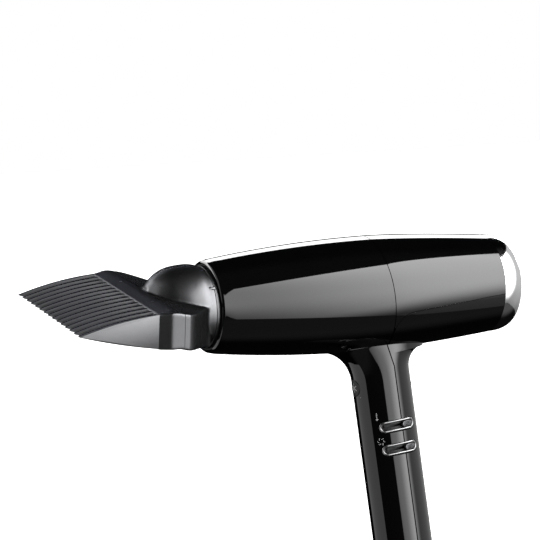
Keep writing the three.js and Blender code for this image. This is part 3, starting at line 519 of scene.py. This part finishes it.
def grip_form(name, inset, bottom):
    """The oval grip, drawn up ring by ring and widened where it flares into the barrel."""
    rings = {front_top - FRONT_FILLET * (1 - math.sin(a)) for a in steps(0, math.pi / 2, 14)}
    rings |= {rear_top - REAR_FILLET * (1 - math.sin(a)) for a in steps(0, math.pi / 2, 10)}
    heights = [bottom, *sorted(rings), -0.45 * BARREL_R]
    bpy.ops.object.select_all(action="DESELECT")
    bpy.ops.mesh.primitive_circle_add(vertices=128, radius=1, fill_type="NGON")
    piece = bpy.context.object
    piece.name = name
    bpy.ops.object.mode_set(mode="EDIT")
    bpy.ops.transform.resize(value=(1, GRIP_B - inset, 1))
    bpy.ops.transform.translate(value=(0, 0, bottom))
    reach = {-1: 1.0, 1: 1.0}
    for i, height in enumerate(heights):
        if i:
            bpy.ops.mesh.select_mode(type="FACE")
            bpy.ops.mesh.extrude_region_move(
                TRANSFORM_OT_translate={"value": (0, 0, height - heights[i - 1])})
        bpy.ops.mesh.select_mode(type="VERT")
        for side, top, radius in ((-1, front_top, FRONT_FILLET), (1, rear_top, REAR_FILLET)):
            wanted = GRIP_A + flare(height, top, radius, inset)
            select_where(piece, lambda co: abs(co.z - height) < 1e-6 and co.x * side > 1e-6)
            bpy.ops.transform.resize(
                value=(wanted / reach[side], 1, 1), center_override=(0, 0, height))
            reach[side] = wanted
        select_where(piece, lambda co: abs(co.z - height) < 1e-6)
    close_up()
    return piece


mouth_end = -NOSE_LENGTH + MOUTH_DEPTH
lip = [(-NOSE_LENGTH + LIP_R + u, NOSE_R - LIP_R + v) for u, v in arc(0, 0, LIP_R, 180, 90)]
body_line = steps(-NOSE_LENGTH + 2 * LIP_R, 0, 30) + steps(0, TAIL_LENGTH, 22)[1:]
shell = turned("shell", [(-NOSE_LENGTH, 0), *lip, *((x, barrel_radius(x)) for x in body_line),
                         (TAIL_LENGTH, 0)])
settle(shell, BARREL)
shell_bottom = -GRIP_LENGTH + BASE_HEIGHT + CLEAR
carve(shell, settle(grip_form("grip_outside", 0, shell_bottom), HANDLE), "UNION")
inner_line = steps(mouth_end, 0, 12) + steps(0, TAIL_LENGTH, 8)[1:]
hollow = turned("hollow", [
    (-NOSE_LENGTH - 0.001, 0), (-NOSE_LENGTH - 0.001, MOUTH_R), (mouth_end, MOUTH_R),
    *((x, barrel_radius(x) - WALL) for x in inner_line),
    (TAIL_LENGTH + 0.001, TAIL_R - WALL), (TAIL_LENGTH + 0.001, 0)])
settle(hollow, BARREL)
carve(hollow, settle(grip_form("grip_inside", WALL, shell_bottom - 0.001), HANDLE), "UNION")
carve(shell, hollow, "DIFFERENCE")
modify(shell, "WELD", merge_threshold=0.000002)

SLOT_HALF_LENGTH = 0.0125
SLOT_HALF_HEIGHT = 0.0037
SLOTS = {"heat": -0.0864, "speed": -0.1015}
COOL_Z = -0.0595
COOL_R = 0.0053
ION_Z = -0.0635
ION_R = 0.0026
SCREW_HEIGHTS = (-0.072, -0.137)
SCREW_WELL_R = 0.003


def stadium(x, z, half_length, half_height, count=16):
    reach = half_length - half_height
    return (arc(x + reach, z, half_height, -90, 90, count)
            + arc(x - reach, z, half_height, 90, 270, count))


def rod(name, x0, x1, radius, y=0.0, z=0.0, sides=64):
    piece = turned(name, [(x0, 0), (x0, radius), (x1, radius), (x1, 0)], sides)
    return settle(piece, Matrix.Translation((0, y, z)))


for opening in (
    *(prism("slot", stadium(0, z, SLOT_HALF_LENGTH + CLEAR, SLOT_HALF_HEIGHT + CLEAR),
            -0.022, -0.005) for z in SLOTS.values()),
    rod("cool_way", -0.025, -0.01, COOL_R + CLEAR, z=COOL_Z),
    rod("ion_way", 0.01, 0.025, ION_R + CLEAR, z=ION_Z),
    *(rod("screw_way", 0.0085, 0.025, SCREW_WELL_R, z=z) for z in SCREW_HEIGHTS),
):
    carve(shell, settle(opening, HANDLE), "DIFFERENCE")

FAR = 0.3
HALF_SEAM = CLEAR / 2
HALF_GRIP_SEAM = 0.0004
MID_SEAM = -0.0005
MID_SEAM_END = -0.034
GRIP_SEAM = 0.0025
GRIP_SEAM_TOP = -0.048
COVER_SEAM_Z = -0.0135
SEAM_CORNER = 0.013
corner_x = MID_SEAM + CLEAR + SEAM_CORNER
corner_z = COVER_SEAM_Z - SEAM_CORNER
zones = {
    "front_shell": [
        (-FAR, FAR), (-FAR, -FAR), (GRIP_SEAM - HALF_GRIP_SEAM, -FAR),
        (GRIP_SEAM - HALF_GRIP_SEAM, GRIP_SEAM_TOP), (MID_SEAM - HALF_GRIP_SEAM, MID_SEAM_END),
        (MID_SEAM - HALF_SEAM, FAR)],
    "rear_shell": [
        (FAR, COVER_SEAM_Z - HALF_SEAM),
        *arc(corner_x, corner_z, SEAM_CORNER - HALF_SEAM, 90, 180, 16),
        (MID_SEAM + HALF_GRIP_SEAM, MID_SEAM_END), (GRIP_SEAM + HALF_GRIP_SEAM, GRIP_SEAM_TOP),
        (GRIP_SEAM + HALF_GRIP_SEAM, -FAR), (FAR, -FAR)],
    "fan_cover": [
        (FAR, FAR), (MID_SEAM + HALF_SEAM, FAR),
        (MID_SEAM + HALF_SEAM, corner_z + SEAM_CORNER * math.sin(math.radians(160))),
        *arc(corner_x, corner_z, SEAM_CORNER + HALF_SEAM, 160, 90, 12),
        (FAR, COVER_SEAM_Z + HALF_SEAM)],
}
gloss_black = Finish("gloss_black", {
    "IOR": 1.5, "Coat Weight": 0.5, "Coat Roughness": 0.02})
smears = gloss_black.noise(0.03, 5)
ripple = gloss_black.noise(0.012, 1)
gloss_black.surface({
    "Base Color": gloss_black.colours(smears, (0.0012, 0.0012, 0.0014), (0.0024, 0.0024, 0.0027)),
    "Roughness": gloss_black.between(smears, 0.02, 0.05),
    "Normal": gloss_black.relief(ripple, 0.000004),
})
for (name, zone), node in zip(
        zones.items(), ("front_casing", "rear_casing", "rear_top_cover")):
    part = copy_of(shell, name)
    carve(part, settle(prism("zone", zone, -FAR / 2, FAR / 2), HANDLE), "INTERSECT")
    smooth(part, 30)
    modify(part, "WEIGHTED_NORMAL", keep_sharp=True, mode="FACE_AREA")
    mount(part, gloss_black, "body", "gloss_black", node)
bpy.data.objects.remove(shell)

# ---- Base cap and cord gland ----
# The grip is closed by a glossy cap with a rounded edge. A rubber gland holds the cord in its
# middle and has shallow ribs round its mouth.
BASE_ROUND = 0.0016
CORD_R = 0.0042
GLAND_R = 0.0073
GLAND_LIP = 0.0005
GLAND_RIB_STEP = 0.0009
GLAND_RIB_DEPTH = 0.0004
GLAND_FLANGE = 0.0024
cap_top = -GRIP_LENGTH + BASE_HEIGHT
bpy.ops.object.select_all(action="DESELECT")
bpy.ops.mesh.primitive_cylinder_add(vertices=128, radius=1, depth=BASE_HEIGHT)
cap = bpy.context.object
cap.name = "base_closure"
cap.scale = (GRIP_A, GRIP_B, 1)
cap.location = (0, 0, (cap_top - GRIP_LENGTH) / 2)
settle(cap, Matrix.Identity(4))
upright_turn = Matrix.Rotation(-math.pi / 2, 4, "Y")
cap_bore = settle(rod("cap_bore", -0.2, -0.16, GLAND_R + CLEAR), upright_turn)
cap_bore = settle(cap_bore, Matrix.Identity(4))
carve(cap, cap_bore, "DIFFERENCE")
rounded(cap, BASE_ROUND, 6, 60)
settle(cap, HANDLE)
smooth(cap)
mount(cap, gloss_black, "body", "gloss_black", "base_cap")
gland_low = -GRIP_LENGTH + GLAND_LIP
gland_rings = [(gland_low + i * GLAND_RIB_STEP, GLAND_R - (i % 2) * GLAND_RIB_DEPTH)
               for i in range(8)]
gland = turned("cord_sleeve", [
    (gland_low, CORD_R), *gland_rings, (shell_bottom + 0.0012, GLAND_R),
    (shell_bottom + 0.0012, GLAND_R + GLAND_FLANGE),
    (shell_bottom + 0.0042, GLAND_R + GLAND_FLANGE),
    (shell_bottom + 0.0042, CORD_R), (gland_low, CORD_R)], 64)
settle(gland, HANDLE @ upright_turn)
smooth(gland)
mount(gland, rubber, "body", "rubber_black", "cord_gland")

# ---- Buttons ----
# The cool-shot button is a round matt key that follows the front of the grip, with a pale snow
# crystal on it. A flange holds it in. The ioniser's small key stands out behind.
KEY_REACH = -0.025
KEY_FOOT = -0.0143
FLANGE_FACE = -0.0155
FLANGE_STEP = 0.0011
STEM_END = -0.0111
STEM_R = 0.002
RAY_SIZE = (0.0003, 0.0005, 0.0064)
CRYSTAL_X = -0.01985
ION_FOOT = 0.0135
ION_PROUD = 0.001
key_black = grained(
    "key_black", (0.003, 0.003, 0.003), (0.006, 0.006, 0.006), 0.4, 0.0004, 0.00002)
cool = rod("cool_key", KEY_REACH, KEY_FOOT, COOL_R, z=COOL_Z)
carve(cool, grip_form("grip_skin", -CLEAR, -GRIP_LENGTH), "INTERSECT")
rounded(cool, 0.0004, 3, 50)
cool_flange = rod("cool_flange", FLANGE_FACE, KEY_FOOT, COOL_R + FLANGE_STEP, z=COOL_Z)
cool_stem = rod("cool_stem", FLANGE_FACE, STEM_END, STEM_R, z=COOL_Z, sides=32)
cool = joined([cool, cool_flange, cool_stem])
settle(cool, HANDLE)
smooth(cool)
mount(cool, key_black, "cool_shot", "satin_black", "cool_shot_button")
pale_ink = grained("pale_ink", (0.5, 0.5, 0.5), (0.62, 0.62, 0.62), 0.5, 0.0003, 0.000004)
rays = []
for i in range(3):
    ray = block(RAY_SIZE)
    settle(ray, Matrix.Translation((CRYSTAL_X, 0, COOL_Z))
           @ Matrix.Rotation(i * math.pi / 3, 4, "X"))
    modify(ray, "BEVEL", width=0.00006, segments=2)
    rays.append(ray)
crystal = joined(rays)
crystal.name = "snow_crystal"
settle(crystal, HANDLE)
mount(crystal, pale_ink, "cool_shot", "silver_trim", "cool_shot_button")
ion = rod("ion_key", ION_FOOT, GRIP_A + ION_PROUD, ION_R, z=ION_Z, sides=48)
rounded(ion, 0.0005, 4, 50)
settle(ion, HANDLE)
smooth(ion)
mount(ion, key_black, "ion", "satin_black", "ion_button")

# ---- Sliders ----
# Two slots in the side of the grip, each edged with a plated bezel that follows the curve. A
# ribbed key runs in each, and sits at the rear end at rest.
BEZEL_LINE = 0.0015
BEZEL_SINK = 0.0005
KEY_HALF_HEIGHT = 0.00195
CURVE_R = GRIP_A ** 2 / GRIP_B
CURVE_Y = CURVE_R - GRIP_B
SLIDER_HALF = 0.0041
SLIDER_X = 0.0069
RIB_COUNT = 5
RIB_PITCH = 0.0012
RIB_SIZE = (0.0005, 0.0008, 0.0031)
RIB_SINK = -0.0011
satin = Finish("satin_black", {"Metallic": 1.0, "Specular Tint": (0.0, 0.0, 0.0, 1)})
spark = satin.noise(0.0005, 2)
cloud = satin.noise(0.02)
satin.surface({
    "Base Color": satin.colours(cloud, (0.15, 0.151, 0.156), (0.19, 0.191, 0.197)),
    "Roughness": satin.between(spark, 0.27, 0.4),
    "Normal": satin.relief(spark, 0.00003),
})
plated = grained(
    "satin_plating", (0.34, 0.34, 0.345), (0.42, 0.42, 0.425), 0.3, 0.0003, 0.000006, 1.0)


def on_grip(x):
    return -GRIP_B * math.sqrt(1 - (x / GRIP_A) ** 2)


for kind, z in SLOTS.items():
    line = stadium(0, z, SLOT_HALF_LENGTH - BEZEL_LINE / 2, SLOT_HALF_HEIGHT - BEZEL_LINE / 2, 24)
    bezel = wire(kind + "_edging", [(x, on_grip(x) + BEZEL_SINK, v) for x, v in [*line, line[0]]])
    bpy.ops.mesh.remove_doubles(threshold=0.000001)
    bpy.ops.object.mode_set(mode="OBJECT")
    bpy.ops.object.convert(target="CURVE")
    bezel = bpy.context.object
    bezel.data.bevel_depth = BEZEL_LINE / 2
    bezel.data.bevel_resolution = 4
    bpy.ops.object.convert(target="MESH")
    bezel = bpy.context.object
    settle(bezel, HANDLE)
    smooth(bezel, 60)
    mount(bezel, plated, "body", "silver_trim", kind + "_bezel")

    key = prism(kind + "_key", stadium(0, 0, SLIDER_HALF, KEY_HALF_HEIGHT),
                -0.0009, 0.0012)
    rounded(key, 0.0004, 3, 50)
    ribs = []
    for i in range(RIB_COUNT):
        rib = block(RIB_SIZE)
        settle(rib, Matrix.Translation(((i - RIB_COUNT // 2) * RIB_PITCH, RIB_SINK, 0)))
        modify(rib, "BEVEL", width=0.00018, segments=2)
        ribs.append(rib)
    key = joined([key, *ribs])
    swing = math.asin(SLIDER_X / CURVE_R)
    settle(key, Matrix.Translation((0, CURVE_Y, z)) @ Matrix.Rotation(swing, 4, "Z")
           @ Matrix.Translation((0, -CURVE_R + 0.0008, 0)))
    settle(key, HANDLE)
    smooth(key)
    mount(key, satin, kind + "_control", "satin_black", kind + "_slider")

# ---- Printed marks ----
# Pale tampo-printed signs in front of the sliders: a thermometer for heat and a six-vaned wheel
# for speed. A dot marks the place under the cool-shot button.
MARK_LIFT = 0.00006


def stroke(along, up, length, width, turn):
    """A printed bar on the grip's near side, at its angle round the oval and its height."""
    bar = block((length, MARK_LIFT * 2, width))
    settle(bar, Matrix.Rotation(turn, 4, "Y"))
    modify(bar, "BEVEL", width=width * 0.3, segments=2)
    facing = math.atan2(along / GRIP_A ** 2, -on_grip(along) / GRIP_B ** 2)
    return settle(bar, Matrix.Translation((along, on_grip(along), up))
                  @ Matrix.Rotation(facing, 4, "Z"))


strokes = [stroke(-0.013, -0.0782, 0.0036, 0.0005, math.pi / 2),
           stroke(-0.013, -0.0806, 0.0013, 0.0013, math.pi / 4)]
for i in range(6):
    angle = i * math.pi / 3
    strokes.append(stroke(-0.0124 + 0.0016 * math.cos(angle), -0.0952 + 0.0019 * math.sin(angle),
                          0.0015, 0.0004, 0.7 - angle))
strokes.append(stroke(-0.0188, -0.0655, 0.0006, 0.0006, 0))
marks = joined(strokes)
marks.name = "printed_marks"
settle(marks, HANDLE)
mount(marks, pale_ink, "body", "silver_trim", "front_casing")

# ---- Outlet ring and grille ----
# A matt black seat lines the mouth and stops the nozzle's spigot. Behind it a grille of two
# rings on four spokes keeps fingers off the heater.
COLLAR_R = 0.026
SEAT_STOP = 0.0012
ring = turned("outlet_seat", [
    (-NOSE_LENGTH + 2 * CLEAR, COLLAR_R + CLEAR), (-NOSE_LENGTH + 2 * CLEAR, MOUTH_R - CLEAR),
    (mouth_end, MOUTH_R - CLEAR), (mouth_end, COLLAR_R - SEAT_STOP),
    (mouth_end - SEAT_STOP, COLLAR_R - SEAT_STOP), (mouth_end - SEAT_STOP, COLLAR_R + CLEAR),
    (-NOSE_LENGTH + 2 * CLEAR, COLLAR_R + CLEAR)])
settle(ring, BARREL)
smooth(ring)
mount(ring, moulded_black, "body", "matt_black", "outlet_ring")


def grille(name, x0, x1, rim, line, radii):
    parts = [tube(name, x0, x1, rim - line * 1.3, rim)]
    parts += [tube("ring", x0, x1, r - line / 2, r + line / 2, 96) for r in radii]
    for i in range(4):
        spoke = block((x1 - x0, line, rim - line / 2))
        settle(spoke, Matrix.Rotation(i * math.pi / 2, 4, "X")
               @ Matrix.Translation(((x0 + x1) / 2, 0, (rim - line / 2) / 2)))
        parts.append(spoke)
    made = joined(parts)
    rounded(made, 0.0002, 2, 50)
    return made


GRILLE_THICK = 0.0016
GRILLE_R = 0.0262
grille_x = mouth_end + CLEAR
outlet = grille(
    "outlet_guard", grille_x, grille_x + GRILLE_THICK, GRILLE_R, 0.0012, (0.009, 0.017))
settle(outlet, BARREL)
smooth(outlet)
mount(outlet, moulded_black, "body", "matt_black", "outlet_grille")

# ---- Intake ring and filter ----
# The chrome-plated ring pulls off with the filter behind it: a black frame of rings and spokes
# over a fine woven steel mesh.
RING_BORE = 0.025
RING_SHOULDER = 0.0086
ring_x = TAIL_LENGTH + CLEAR
shoulder_x = ring_x + RING_SHOULDER
frame_r = RING_BORE + 0.0026
ring_side = TAIL_R - 0.0002
ring_face = RING_BORE + 0.0008
dome = [(ring_x + 0.002 + (RING_LENGTH - 0.0023) * math.sin(a),
         ring_face + (ring_side - ring_face) * math.cos(a) ** 0.8)
        for a in steps(0, math.pi / 2 * 0.985, 24)]
chrome = grained("bright_chrome", (0.8, 0.8, 0.81), (0.9, 0.9, 0.91), 0.07, 0.0006, 0.000002, 1.0)
rear = turned("chrome_ring", [
    (ring_x, frame_r + CLEAR), (ring_x, ring_side), *dome, (TAIL_LENGTH + RING_LENGTH, ring_face),
    (TAIL_LENGTH + RING_LENGTH, RING_BORE), (shoulder_x, RING_BORE),
    (shoulder_x, frame_r + CLEAR), (ring_x, frame_r + CLEAR)], 160)
settle(rear, BARREL)
smooth(rear)
mount(rear, chrome, "intake_cap", "chrome_ring", "rear_ring")
frame_x1 = shoulder_x - CLEAR
filter_frame = joined([
    grille("filter_guard", frame_x1 - 0.002, frame_x1, frame_r, 0.0013, (0.009, 0.018)),
    tube("filter_rim", ring_x - 0.009, frame_x1 - 0.001, frame_r - 0.0014, frame_r)])
settle(filter_frame, BARREL)
smooth(filter_frame)
mount(filter_frame, moulded_black, "intake_cap", "matt_black", "filter_frame")
mesh_steel = Finish("woven_mesh", {"Metallic": 0.9})
warp = mesh_steel.node("TexWave", {"bands_direction": "Y"}, {
    "Vector": mesh_steel.place, "Scale": 260})
weft = mesh_steel.node("TexWave", {"bands_direction": "Z"}, {
    "Vector": mesh_steel.place, "Scale": 260})
weave = warp.math("MAXIMUM", warp, weft)
mesh_steel.surface({
    "Base Color": mesh_steel.colours(weave, (0.01, 0.01, 0.01), (0.45, 0.45, 0.46)),
    "Roughness": mesh_steel.between(weave, 0.6, 0.3),
    "Normal": mesh_steel.relief(weave, 0.0002),
})
paint(mesh_steel, "filter_mesh")

# ---- Nozzle ----
# One satin black moulding: a round spigot and collar, a dome that sinks forward, and a flat duct
# that fans out on both sides of it as wide as the comb. The comb head's bar is formed in one with
# it and parted along the joint, so that their surfaces run on.
NOZZLE_TURN = math.radians(12)
NOZZLE_LENGTH = 0.0545
HEAD_DEPTH = 0.014
COMB_WIDTH = 0.108
HEAD_OVERHANG = 0.00315
HEAD_TOP = 0.0136
HEAD_BOTTOM = -0.009
NOZZLE_WALL = 0.0018
DOME_WALL = 0.0028
JOINT_SWEEP = 0.0062
FORM_GRAIN = 0.0006
FORM_SOFTENING = 16
INDEX_SIZE = (0.0048, 0.002, 0.0018)
INDEX_ANGLE = math.radians(49)
NOZZLE = BARREL @ Matrix.Rotation(NOZZLE_TURN, 4, "X")
root_x = -NOSE_LENGTH - NOZZLE_LENGTH
head_x = root_x + HEAD_DEPTH
head_half = COMB_WIDTH / 2 + HEAD_OVERHANG
spigot_end = mouth_end - SEAT_STOP - 0.00075
collar_x = -NOSE_LENGTH - 0.002
dome_length = collar_x - head_x - 0.0006
# How far along the dome, its middle's height, half width and half height.
DOME = (
    (0, 0, 0.026, 0.026), (0.18, 0.0014, 0.0264, 0.0266), (0.39, 0.003, 0.025, 0.025),
    (0.56, 0.0052, 0.0222, 0.022), (0.7, 0.007, 0.019, 0.0185), (0.88, 0.008, 0.013, 0.0133),
    (1, 0.0095, 0.007, 0.0066),
)


def dome_ring(share):
    """Height, half width and half height of the dome, smooth through its sections."""
    k = max(i for i in range(len(DOME) - 1) if DOME[i][0] <= share)
    four = [DOME[min(max(i, 0), len(DOME) - 1)] for i in (k - 1, k, k + 1, k + 2)]
    span = four[2][0] - four[1][0]
    t = (share - four[1][0]) / span
    ring = []
    for j in (1, 2, 3):
        leave = (four[2][j] - four[0][j]) / (four[2][0] - four[0][0]) * span
        arrive = (four[3][j] - four[1][j]) / (four[3][0] - four[1][0]) * span
        ring.append((2 * t ** 3 - 3 * t ** 2 + 1) * four[1][j] + (t ** 3 - 2 * t ** 2 + t) * leave
                    + (3 * t ** 2 - 2 * t ** 3) * four[2][j] + (t ** 3 - t ** 2) * arrive)
    return ring


def dome_form(name, inset, start):
    bpy.ops.object.select_all(action="DESELECT")
    bpy.ops.mesh.primitive_circle_add(vertices=96, radius=1, fill_type="NGON")
    piece = bpy.context.object
    piece.name = name
    settle(piece, Matrix.Rotation(math.pi / 2, 4, "Y"))
    rings = [(start, 0, COLLAR_R, COLLAR_R)]
    rings += [(collar_x - dome_length * share, *dome_ring(share)) for share in steps(0, 0.999, 28)]
    bpy.ops.object.mode_set(mode="EDIT")
    bpy.ops.mesh.select_all(action="SELECT")
    bpy.ops.transform.translate(value=(start, 0, 0))
    last_x, last_z, last_w, last_h = start, 0, 1, 1
    for i, (x, z, w, h) in enumerate(rings):
        if i:
            bpy.ops.mesh.extrude_region_move(
                TRANSFORM_OT_translate={"value": (x - last_x, 0, z - last_z)})
        bpy.ops.transform.resize(
            value=(1, (w - inset) / last_w, (h - inset) / last_h), center_override=(x, 0, z))
        last_x, last_z, last_w, last_h = x, z, w - inset, h - inset
    close_up()
    return piece


FLARE_LENGTH = 0.0285


def fan_form(name, inset):
    ahead = head_x - 0.003 - inset
    wide = head_half - inset
    narrow = COLLAR_R - 0.002 - inset
    flare_x = collar_x - 0.003
    side = [(ahead, wide), (flare_x - FLARE_LENGTH - 0.002, wide)]
    for t in steps(1, 0, 16):
        eased = 0.5 * t + 0.5 * (3 * t ** 2 - 2 * t ** 3)
        side.append((flare_x - FLARE_LENGTH * t, narrow + (wide - narrow) * eased))
    plan = prism(name, [*side, *((x, -y) for x, y in reversed(side))], -0.03, 0.03)
    settle(plan, Matrix.Rotation(math.pi / 2, 4, "X"))
    slice_line = [(ahead, HEAD_TOP - inset), (head_x, HEAD_TOP - inset), (flare_x, 0.006 - inset),
                  (flare_x, -0.77 * COLLAR_R + inset),
                  (head_x + 0.016, HEAD_BOTTOM - 0.004 + inset),
                  (head_x, HEAD_BOTTOM + inset), (ahead, HEAD_BOTTOM + inset)]
    return carve(plan, prism("slice", slice_line, -0.06, 0.06), "INTERSECT")


def joint_zone(name, gap):
    """All that lies ahead of the joint with the comb head, which sweeps back at both ends."""
    sweep = [(head_x + gap + JOINT_SWEEP * (1 - math.cos(a)),
              head_half - JOINT_SWEEP * 2 + (JOINT_SWEEP * 2 + 0.002) * math.sin(a))
             for a in steps(0, math.pi / 2, 10)]
    plan = prism(name, [(root_x - 0.01, sweep[-1][1]), *reversed(sweep),
                        *((x, -y) for x, y in sweep), (root_x - 0.01, -sweep[-1][1])], -0.05, 0.05)
    return settle(plan, Matrix.Rotation(math.pi / 2, 4, "X"))


head_corner = [(root_x + 0.0095, head_half), (root_x + 0.0083, head_half - 0.0002),
               (root_x + 0.0075, head_half - 0.0006), (root_x, COMB_WIDTH / 2 - 0.0006)]
head = prism("head_bar", [(head_x + 0.001, head_half), *head_corner,
                          *((x, -y) for x, y in reversed(head_corner)),
                          (head_x + 0.001, -head_half)], -0.03, 0.03)
settle(head, Matrix.Rotation(math.pi / 2, 4, "X"))
carve(head, prism("slice", [
    (head_x + 0.001, HEAD_TOP), (head_x - 0.0045, HEAD_TOP + 0.0005), (root_x, HEAD_TOP - 0.0004),
    (root_x, HEAD_BOTTOM + 0.0002), (root_x + 0.003, HEAD_BOTTOM - 0.0002),
    (head_x + 0.001, HEAD_BOTTOM)], -0.07, 0.07), "INTERSECT")
duct = dome_form("nozzle_body", 0, spigot_end)
carve(duct, fan_form("fan_plate", 0), "UNION")
carve(duct, head, "UNION")
modify(duct, "REMESH", mode="VOXEL", voxel_size=FORM_GRAIN)
modify(duct, "SMOOTH", factor=0.5, iterations=FORM_SOFTENING)
head = copy_of(duct, "head_bar")
carve(head, joint_zone("ahead_of_joint", 0), "INTERSECT")
carve(duct, joint_zone("ahead_of_joint", CLEAR), "DIFFERENCE")
duct_inside = dome_form("duct_inside", DOME_WALL, spigot_end + 0.002)
carve(duct_inside, fan_form("fan_inside", NOZZLE_WALL + 0.0008), "UNION")
carve(duct, duct_inside, "DIFFERENCE")
index_bar = block(INDEX_SIZE)
settle(index_bar, Matrix.Rotation(INDEX_ANGLE, 4, "X")
       @ Matrix.Translation((collar_x - 0.0016, 0, COLLAR_R)))
modify(index_bar, "BEVEL", width=0.0005, segments=3)
bead = tube(
    "collar_bead", collar_x - 0.0002, collar_x + 0.0008, COLLAR_R - 0.001, COLLAR_R + 0.0004)
rounded(bead, 0.0003, 3, 50)
duct = joined([duct, index_bar, bead])
settle(duct, NOZZLE)
smooth(duct, 40)
mount(duct, satin, "nozzle", "satin_black", "nozzle_duct")

# ---- Comb head ----
# The head snaps on the duct's wide mouth. Its rounded bar is hollow and carries fifteen
# leaf-shaped teeth, with an air slot between each two.
TOOTH_COUNT = 15
TOOTH_THICK = 0.0037
TOOTH_LENGTH = 0.05
TOOTH_SINK = 0.002
TIP_START = 0.985
TIP_Z = 0.0032
AIR_SLOT = 0.0024
DIMPLE_Y = 0.026
tip_x = root_x - TOOTH_LENGTH
pitch = (COMB_WIDTH - TOOTH_THICK) / (TOOTH_COUNT - 1)


def row(count):
    return [(i - (count - 1) / 2) * pitch for i in range(count)]


room = prism("room", [(root_x + 0.003, HEAD_BOTTOM + 0.002), (head_x + 0.001, HEAD_BOTTOM + 0.002),
                       (head_x + 0.001, HEAD_TOP - 0.0024), (root_x + 0.003, HEAD_TOP - 0.0024)],
             -COMB_WIDTH / 2 + 0.002, COMB_WIDTH / 2 - 0.002)
carve(head, room, "DIFFERENCE")
slot_side = [
    (root_x - 0.001, HEAD_BOTTOM + 0.004), (root_x + 0.0045, HEAD_BOTTOM + 0.004),
    (root_x + 0.0045, HEAD_TOP - 0.0032), (root_x - 0.001, HEAD_TOP - 0.0032)]
slots = [prism("air_slot", slot_side, y - AIR_SLOT / 2, y + AIR_SLOT / 2)
         for y in row(TOOTH_COUNT - 1)]
carve(head, joined(slots), "DIFFERENCE")


def leaf(t, root_z, bow):
    """Height of a tooth's edge a share t of the way from root to tip."""
    return (1 - t) ** 2 * root_z + 2 * t * (1 - t) * bow + t ** 2 * TIP_Z


def along_tooth(t):
    return root_x + TOOTH_SINK - (TOOTH_LENGTH + TOOTH_SINK) * t


top_edge = [(along_tooth(t), leaf(t, HEAD_TOP - 0.0006, HEAD_TOP - 0.002))
            for t in steps(0, TIP_START, 16)]
low_edge = [(along_tooth(t), leaf(t, HEAD_BOTTOM + 0.0004, HEAD_BOTTOM + 0.0045))
            for t in steps(TIP_START, 0, 16)]
tooth = prism("tooth", [*top_edge, (tip_x, TIP_Z), *low_edge], -TOOTH_THICK / 2, TOOTH_THICK / 2)
rounded(tooth, 0.0008, 3, 60)
teeth = []
for y in row(TOOTH_COUNT):
    twin = copy_of(tooth, "tooth_copy")
    teeth.append(settle(twin, Matrix.Translation((0, y, 0))))
bpy.data.objects.remove(tooth)
for y in (-DIMPLE_Y, DIMPLE_Y):
    dimple = settle(rod("dimple", 0, 0.002, 0.0009, sides=24), Matrix.Translation(
        (root_x + 0.0085, y, HEAD_TOP)) @ Matrix.Rotation(-math.pi / 2, 4, "Y"))
    carve(head, dimple, "DIFFERENCE")
comb = joined([head, *teeth])
settle(comb, NOZZLE)
smooth(comb, 40)
mount(comb, satin, "nozzle", "satin_black", "comb_head")
